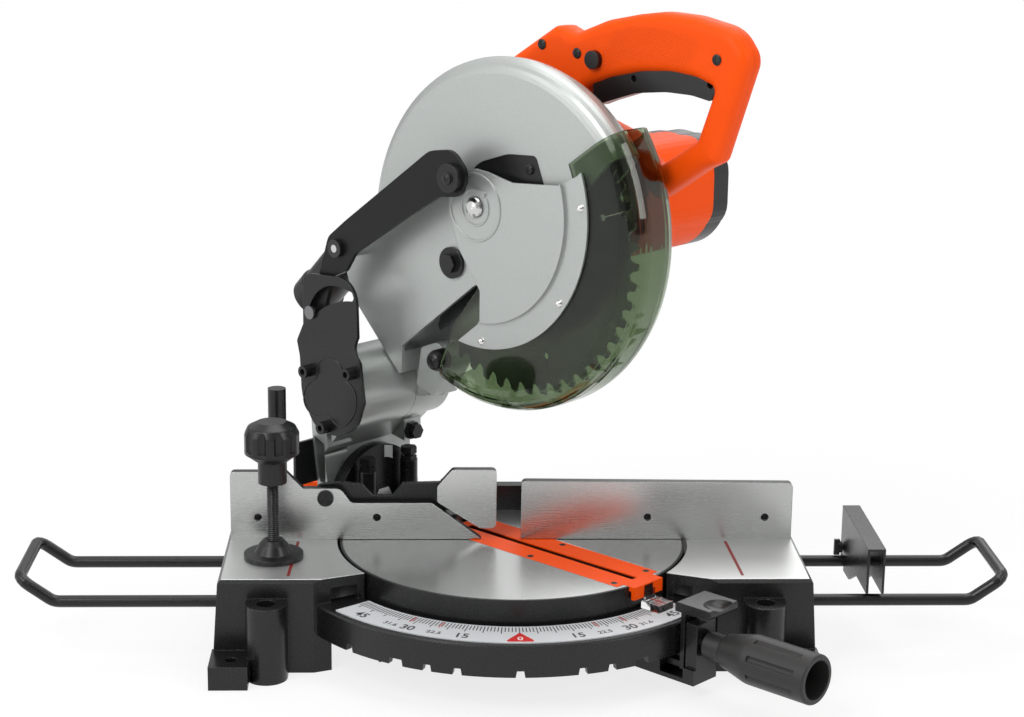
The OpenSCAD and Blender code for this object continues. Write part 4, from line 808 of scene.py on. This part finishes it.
def studio():
    """Pale floor that fades to white, white surroundings for what the camera sees, and soft lamps."""
    scene = bpy.context.scene
    scene.view_settings.view_transform = "Standard"
    world = bpy.data.worlds.new("studio")
    scene.world = world
    world.use_nodes = True
    tree = world.node_tree
    back = tree.nodes["Background"]
    seen = Sock(tree.nodes.new("ShaderNodeLightPath").outputs["Is Camera Ray"])
    path = seen.socket.node
    mirrored = Sock(path.outputs["Is Glossy Ray"])
    bright = (seen + mirrored + Sock(path.outputs["Is Transmission Ray"])).least(1.0)
    way = Sock(tree.nodes.new("ShaderNodeTexCoord").outputs["Generated"])
    axes = way.node("ShaderNodeSeparateXYZ", Vector=way).socket.node
    across, ahead, above = [Sock(axes.outputs[axis]) for axis in "XYZ"]
    bands = ((across * 7.0 + 0.9).wave() * 0.5 + 0.5).rise(0.25, 0.75)
    front = (1.0 - ahead.rise(-0.75, 0.1)) * (0.85 - 0.35 * bands)
    behind = ahead.rise(0.2, 0.7) * (1.0 - above.rise(0.15, 0.5)) * 0.6
    room = 1.0 - mirrored * (front + behind)
    back.inputs["Color"].default_value = (1.0, 1.0, 1.0, 1.0)
    tree.links.new(((0.32 + bright * 0.68) * room).socket, back.inputs["Strength"])

    half = 6.0
    floor_mesh = bpy.data.meshes.new("floor")
    corners = [(-half, -half, 0), (half, -half, 0), (half, half, 0), (-half, half, 0)]
    floor_mesh.from_pydata(corners, [], [(0, 1, 2, 3)])
    floor = bpy.data.objects.new("floor", floor_mesh)
    scene.collection.objects.link(floor)
    f = Finish("studio_floor", (0.9, 0.9, 0.9), 0.8)
    links = f.made.node_tree.links
    glow = f.place.node("ShaderNodeEmission", Color=(1.0, 1.0, 1.0, 1.0), Strength=1.0)
    reach = ((f.x * f.x + f.y * f.y) ** 0.5).rise(420.0, 900.0)
    path = f.made.node_tree.nodes.new("ShaderNodeLightPath")
    seen = (Sock(path.outputs["Is Camera Ray"]) + Sock(path.outputs["Is Glossy Ray"])).least(1.0)
    blend = f.place.node("ShaderNodeMixShader", Fac=seen * (0.8 + 0.2 * reach),
                         _1=Sock(f.shader.outputs[0]), _2=glow)
    links.new(blend.socket, f.made.node_tree.nodes["Material Output"].inputs["Surface"])
    floor_mesh.materials.append(f.made)

    for name, place, wide, tall, power in (
            ("key_lamp", (-1.3, -1.5, 2.0), 1.1, 1.1, 30.0),
            ("fill_lamp", (1.7, -1.3, 1.3), 0.5, 1.6, 15.0),
            ("left_strip", (-1.9, -0.5, 1.0), 0.35, 1.6, 7.0),
            ("front_strip", (-0.7, -2.1, 1.0), 0.16, 1.9, 3.0),
            ("top_lamp", (0.2, 0.3, 2.4), 1.8, 1.8, 26.0),
            ("back_lamp", (0.8, 1.9, 1.5), 1.4, 1.4, 9.0)):
        lamp = bpy.data.lights.new(name, "AREA")
        lamp.shape, lamp.size, lamp.size_y, lamp.energy = "RECTANGLE", wide, tall, power
        holder = bpy.data.objects.new(name, lamp)
        scene.collection.objects.link(holder)
        holder.location = place
        holder.rotation_euler = (Vector((0, 0, 0.25)) - Vector(place)).to_track_quat("-Z", "Y").to_euler()


def camera():
    """The photograph's camera: a long lens in front, a little above the table, rolled by under a degree."""
    azimuth, height, roll = [math.radians(a) for a in (-2.283, 14.529, 0.695)]
    level = np.array([math.sin(azimuth), -math.cos(azimuth), 0.0])
    back = level * math.cos(height) + UP * math.sin(height)
    right = np.array([math.cos(azimuth), math.sin(azimuth), 0.0])
    up = np.cross(back, right)
    right, up = (right * math.cos(roll) + up * math.sin(roll), up * math.cos(roll) - right * math.sin(roll))
    data = bpy.data.cameras.new("photo_camera")
    data.lens, data.sensor_width = 78.0, 36.0
    made = bpy.data.objects.new("photo_camera", data)
    bpy.context.scene.collection.objects.link(made)
    aim, distance = np.array([-2.094, 0.0, 242.9]) * MM, 1.8812
    pose = np.vstack([np.column_stack([right, up, back, aim + back * distance]), [0.0, 0.0, 0.0, 1.0]])
    made.matrix_world = Matrix(pose.tolist())
    bpy.context.scene.camera = made


camera()
studio()
